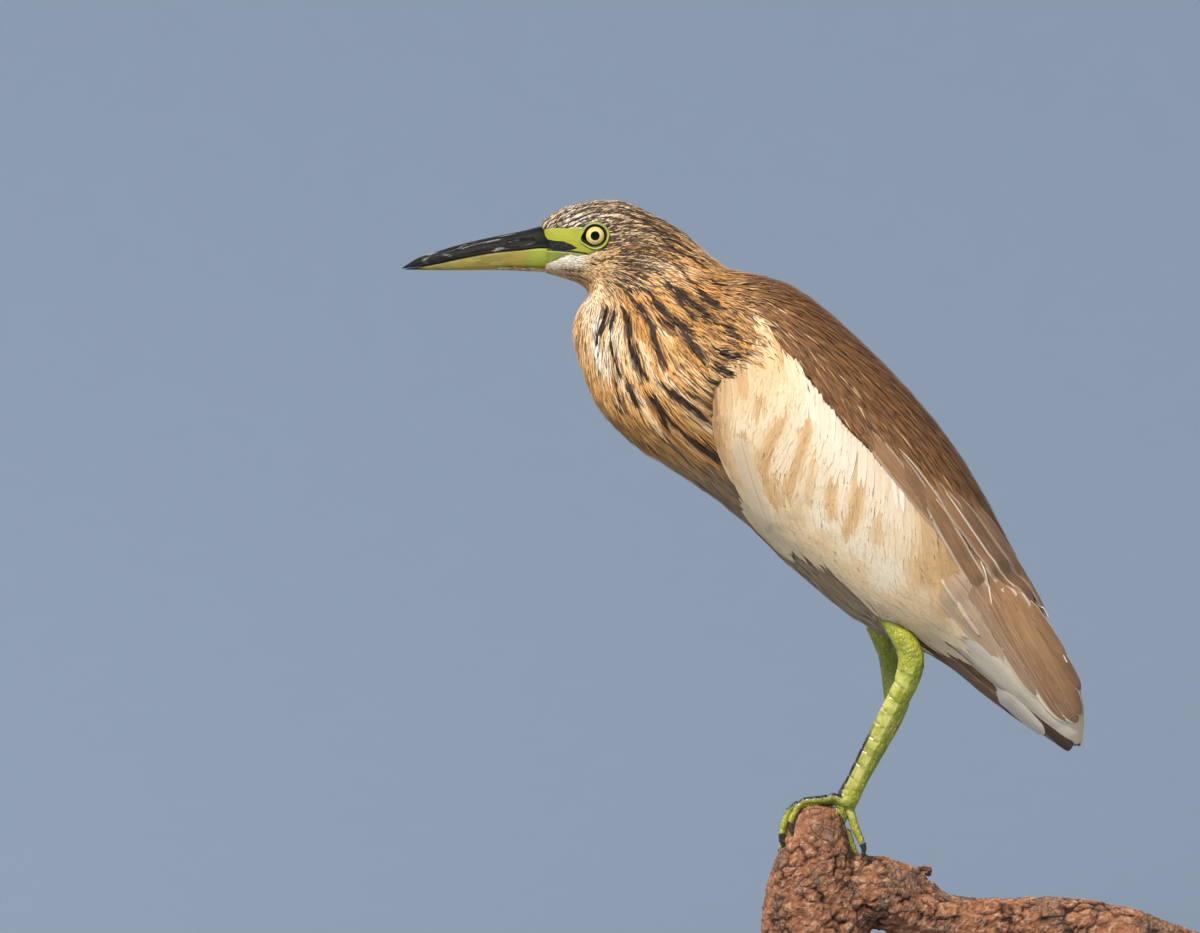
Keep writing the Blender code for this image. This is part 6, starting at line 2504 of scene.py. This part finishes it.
# ---------------------------------------------------------------- legs
@dataclass
class Legs:
    """The bare legs and toes in one skin, with shields, bands and a net of fine scales.

    A shin is the line of one leg from under the thigh over the heel down to the ankle, each point
    with its x, y and z. Shaft and toes start that far past the heel and from the ankle. Front is
    how squarely the skin faces forward where the shields begin, and slant how far they hang to the
    sides. The dark of the shaft begins and is full that high above the ankle; that dark, on the
    lower front of the shaft and on the tops of the toes, is partly dusky skin and partly painted
    shade.
    """

    shins: tuple[tuple[Point, ...], ...] = (
        (
            (4.4, -12.8, 196.2),
            (13.6, -15.2, 184.0),
            (16.4, -15.8, 177.4),
            (16.0, -15.7, 171.6),
            (13.4, -15.2, 163.6),
            (5.8, -14.2, 149.6),
            (-4.1, -13.0, 129.4),
            (-8.4, -12.6, 120.6),
            (-10.8, -12.2, 112.8),
        ),
        (
            (1.4, 13.6, 191.4),
            (4.4, 16.0, 184.0),
            (7.4, 18.6, 176.4),
            (11.0, 21.8, 161.0),
            (10.6, 21.6, 155.6),
            (8.4, 20.4, 149.4),
            (2.4, 18.2, 138.4),
            (-7.4, 15.0, 121.6),
            (-13.2, 13.0, 111.4),
            (-16.0, 12.2, 103.8),
        ),
    )
    heels: tuple[int, ...] = (2, 3)
    shield_length: float = 6.4
    band_length: float = 2.7
    wrinkle_length: float = 1.9
    groove_depth: float = 0.16
    shield_rise: float = 0.12
    shaft_from: Place = (4.0, 7.0)
    toes_from: Place = (5.0, 6.5)
    toes_above: float = 9.0
    front: Place = (-0.42, -0.22)
    slant: float = 1.6
    soot_above: Place = (46.0, 26.0)
    line_points: int = 240
    voxel: float = 0.5

    def build(self) -> None:
        """The skin of both legs, and the claws in horn."""
        surface = Surface.around(LEG_NODES, swell=0.35, voxel=self.voxel, rounds=10)
        points, normals = surface.points, surface.normals
        count = len(points)
        groove, shield, soot = np.zeros(count), np.zeros(count), np.zeros(count)
        right = points[:, 1] > 0
        for side, (shin, heel) in enumerate(zip(self.shins, self.heels)):
            own = np.flatnonzero(right == bool(side))
            groove[own], shield[own], soot[own] = self.scales(points[own], normals[own], np.array(shin), heel)
        groove, shield = surface.averaged(groove, 1), surface.averaged(shield, 1)
        raised = self.shield_rise * shield * (1 - groove) - self.groove_depth * groove
        points = points + normals * raised[:, None]
        piece = make_piece("leg_scales", points, surface.faces, LegFinish().make())
        carry(piece, groove=groove, shield=shield, soot=soot)
        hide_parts(*LEG_NODES)
        horn = ClawFinish().make()
        for name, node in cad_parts.items():
            if name.startswith("claw_"):
                wear(node, horn)

    def scales(self, points: Array, normals: Array, shin: Array, heel: int) -> tuple[Array, Array, Array]:
        """The relief and the dark parts of one leg, partly dusky skin and partly painted shade.

        Args:
            points: Its points.
            normals: The normals there.
            shin: Its line.
            heel: Which point of the line is the heel.

        Returns:
            groove, shield and the dark, partly dusky skin and partly painted shade, at each point, from 0 to
            1.
        """
        line = through(shin, self.line_points)
        lengths = np.append(0.0, np.cumsum(np.linalg.norm(np.diff(line, axis=0), axis=1)))
        tree = tree_of(line)
        index = np.array([tree.find(p)[1] for p in points.tolist()])
        along = lengths[index]
        ways = unit(np.gradient(line, axis=0))[index]
        ahead = unit(np.stack([-ways[:, 2], np.zeros(len(ways)), ways[:, 0]], 1))
        ahead *= np.sign(-ahead[:, :1])
        facing = np.einsum("ij,ij->i", normals, ahead)
        heel_at = lengths[int(round(self.line_points * heel / (len(shin) - 1)))]
        total = lengths[-1]
        ankle = shin[-1]
        off = np.linalg.norm(points - ankle, axis=1)
        toe = smooth_step(off, *self.toes_from) * (along > total - self.toes_above)
        shaft = (1 - toe) * smooth_step(along, *(heel_at + past for past in self.shaft_from))
        front = smooth_step(facing, *self.front)
        phase = (along - heel_at - self.slant * (1 - facing)) / self.shield_length
        gap = np.abs(phase - np.round(phase)) * self.shield_length
        groove = shaft * front * smooth_step(gap, 0.6, 0.1)
        seam = shaft * smooth_step(np.abs(facing + 0.34), 0.14, 0.03) * 0.6
        shield = shaft * front
        on_top = smooth_step(normals[:, 2], -0.05, 0.35)
        ring = off / self.band_length
        band = np.abs(ring - np.round(ring)) * self.band_length
        groove = np.maximum(groove, toe * on_top * smooth_step(band, 0.55, 0.1))
        shield = np.maximum(shield, toe * on_top * 0.55)
        near_heel = smooth_step(np.abs(along - heel_at), 9.0, 3.0)
        wavy = along + 0.8 * np.sin(points[:, 1] * 1.7)
        wrinkle = 0.5 + 0.5 * np.cos(2 * np.pi * wavy / self.wrinkle_length)
        groove = np.maximum(groove, near_heel * 0.55 * wrinkle**3)
        groove = np.maximum(groove, seam)
        # the dark of the lower front of the shaft and of the tops of the toes: partly dusky skin, partly
        # painted shade
        lower = smooth_step(along, *(total - above for above in self.soot_above)) * (1 - toe)
        lower = lower * smooth_step(facing, 0.36, 0.66)
        toe_soot = toe * smooth_step(normals[:, 2], 0.15, 0.50)
        return groove, shield, np.clip(lower + toe_soot, 0.0, 1.0)


def wear(node: bpy.types.Object, finish: bpy.types.Material) -> None:
    """Gives a solid of the part its finish."""
    node.data.materials.clear()
    node.data.materials.append(finish)


# ---------------------------------------------------------------- perch and stand
@dataclass
class Perch:
    """The cut branch, its bark broken into scales.

    A bend is how quickly a push changes along the branch and how far it moves the scales' edges.
    """

    voxel: float = 0.8
    bends: tuple[Place, ...] = ((0.07, 5.0), (0.28, 1.6))
    scale_size: Point = (9.0, 6.0, 6.5)
    finer: float = 2.3
    crack_width: float = 0.2
    small_share: float = 0.45
    deep: float = 1.25
    high: float = 0.2
    knob: Place = (92.0, 104.0)
    cut_x: float = 136.0

    def crack(self, place: Point) -> tuple[float, float]:
        """How deep the bark is cracked at a place, and how far that is from its scale's middle."""
        near = noise.voronoi(place)[0]
        small = noise.voronoi([value * self.finer for value in place])[0]
        wide = 1 - (near[1] - near[0]) / self.crack_width
        narrow = 1 - (small[1] - small[0]) / self.crack_width
        return max(wide, self.small_share * narrow, 0.0), near[0]

    def build(self) -> None:
        """The bark over the whole perch."""
        surface = Surface.around(["perch"], swell=0.0, voxel=self.voxel, rounds=2)
        points, normals = surface.points, surface.normals
        push = sum(
            far * np.array([noise.noise_vector(p) for p in (points * quick).tolist()])
            for quick, far in self.bends
        )
        places = ((points + push) / np.array(self.scale_size)).tolist()
        crack, scale = np.array([self.crack(place) for place in places]).T
        fade = np.array([noise.noise(p) for p in (points * 0.11 + 40.0).tolist()])
        crack = crack * np.clip(0.65 + 1.2 * fade, 0.15, 1.0)
        rough = np.array([noise.fractal(p, 0.6, 2.1, 5) for p in (points * 0.35).tolist()])
        smooth_top = smooth_step(points[:, 2], *self.knob)
        cut = smooth_step(points[:, 0], self.cut_x, self.cut_x + 1.5)
        bark = (1 - 0.75 * smooth_top) * (1 - cut)
        relief = bark * (self.high * (1 - scale) - self.deep * crack)
        relief = np.clip(relief + (0.35 + 0.3 * bark) * rough * (1 - cut), -1.5, 0.4)
        points = points + normals * relief[:, None]
        piece = make_piece("bark", points, surface.faces, BarkFinish().make())
        carry(piece, crack=crack * bark, scale=np.clip(0.5 + rough * 0.5 - scale * 0.3, 0.0, 1.0))
        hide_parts("perch")


class Stand:
    """The display stand, which stays as it is in the part and only gets its finishes."""

    def dress(self) -> None:
        """Wood for the board, steel for the rods."""
        wood, steel = WoodFinish().make(), SteelFinish().make()
        for name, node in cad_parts.items():
            if name.startswith("stand_"):
                wear(node, wood if name == "stand_base" else steel)


# ---------------------------------------------------------------- studio
@dataclass(frozen=True)
class Light:
    """A soft square light: where it hangs and its side, in metres, its watts and its colour."""

    name: str
    at: Point
    size: float
    power: float
    colour: Point


@dataclass
class Studio:
    """A pale paper bowl, soft lights and the camera. Its sizes are in metres."""

    lights: tuple[Light, ...] = (
        Light("key", (-1.3, -2.0, 3.0), 0.5, 196.0, (1.0, 0.94, 0.84)),
        Light("fill", (1.5, -1.7, 0.8), 1.3, 5.0, (1.0, 0.98, 0.95)),
        Light("back", (-0.9, 1.6, 1.9), 1.1, 16.0, (1.0, 0.98, 0.95)),
    )
    lit: Point = (-0.03, 0.0, 0.24)
    floor_radius: float = 1.6
    curve: float = 1.2
    wall: float = 4.0
    floor_rings: int = 11
    curve_rings: int = 24
    around: int = 128
    camera_at: Point = (-0.117, -6.0, 0.2588)
    lens: float = 418.6
    sensor: float = 36.0
    world: float = 0.36
    sky: Colour = srgb(232, 218, 198)

    def build(self) -> None:
        """Makes everything round the part."""
        self.backdrop()
        for light in self.lights:
            self.hang(light)
        world = bpy.data.worlds.new("studio")
        bpy.context.scene.world = world
        world.use_nodes = True
        background = world.node_tree.nodes["Background"]
        background.inputs["Color"].default_value = self.sky
        background.inputs["Strength"].default_value = self.world
        self.camera()
        bpy.context.scene.view_settings.view_transform = "Standard"

    def backdrop(self) -> None:
        """A floor that curves up into a wall all the way round."""
        bend = np.linspace(0.0, np.pi / 2, self.curve_rings)
        flat = np.linspace(0.02, self.floor_radius, self.floor_rings + 1)[:-1]
        radius = np.concatenate([flat, self.floor_radius + self.curve * np.sin(bend)])
        height = np.concatenate([np.zeros(self.floor_rings), self.curve * (1 - np.cos(bend))])
        radius, height = np.append(radius, radius[-1]), np.append(height, self.wall)
        turn = np.linspace(0.0, 2 * np.pi, self.around, endpoint=False)
        x, y = radius[:, None] * np.cos(turn), radius[:, None] * np.sin(turn)
        points = np.stack([x, y, np.broadcast_to(height[:, None], x.shape)], -1).reshape(-1, 3)
        faces = np.vstack([ring_faces(len(radius), self.around)[:, ::-1], disc_faces(0, self.around, False)])
        mesh = bpy.data.meshes.new("backdrop")
        mesh.from_pydata(points.tolist(), [], faces.tolist())
        mesh.polygons.foreach_set("use_smooth", np.ones(len(faces), bool))
        mesh.materials.append(BackdropFinish().make())
        sweep = bpy.data.objects.new("backdrop", mesh)
        bpy.context.scene.collection.objects.link(sweep)
        sweep.visible_shadow = False

    def hang(self, light: Light) -> None:
        """Hangs one light so that it looks at the middle of the part.

        Args:
            light: Its measures.
        """
        data = bpy.data.lights.new(light.name, "AREA")
        data.size = light.size
        data.energy = light.power
        data.color = light.colour
        lamp = bpy.data.objects.new(light.name, data)
        lamp.location = light.at
        way = Vector(self.lit) - Vector(light.at)
        lamp.rotation_euler = way.to_track_quat("-Z", "Y").to_euler()
        lamp.visible_camera = False
        bpy.context.scene.collection.objects.link(lamp)

    def camera(self) -> None:
        """The camera, level and square to the bird's left side."""
        data = bpy.data.cameras.new("camera")
        data.lens = self.lens
        data.sensor_width = self.sensor
        eye = bpy.data.objects.new("camera", data)
        eye.location = self.camera_at
        eye.rotation_euler = (math.pi / 2, 0.0, 0.0)
        bpy.context.scene.collection.objects.link(eye)
        bpy.context.scene.camera = eye


def main() -> None:
    """Builds every piece in order."""
    logging.basicConfig(level=logging.INFO, format="%(message)s")
    rng = np.random.default_rng(SEED)
    noise.seed_set(SEED)
    LOG.info("outer form")
    outer = Surface.around([*FLESH, "eye_left", "eye_right"], swell=0.35, voxel=1.2, rounds=25)
    plumage = Plumage(outer, Anatomy(), rng)
    Skin(plumage).build()
    Coat(plumage, PlumageFinish().make(), rng).build()
    quills = Quills(plumage, QuillFinish().make())
    quills.build("quills_wing", WING_QUILLS, "plumage_white", 6)
    quills.build("quills_scapular", SCAPULARS, "plumage_brown", 4)
    quills.build("quills_tail", TAIL_QUILLS, "plumage_white", 4)
    Bill().build()
    Eyes(outer).build()
    Legs().build()
    Perch().build()
    Stand().dress()
    Studio().build()
    bpy.context.view_layer.update()


if __name__ == "__main__":
    main()
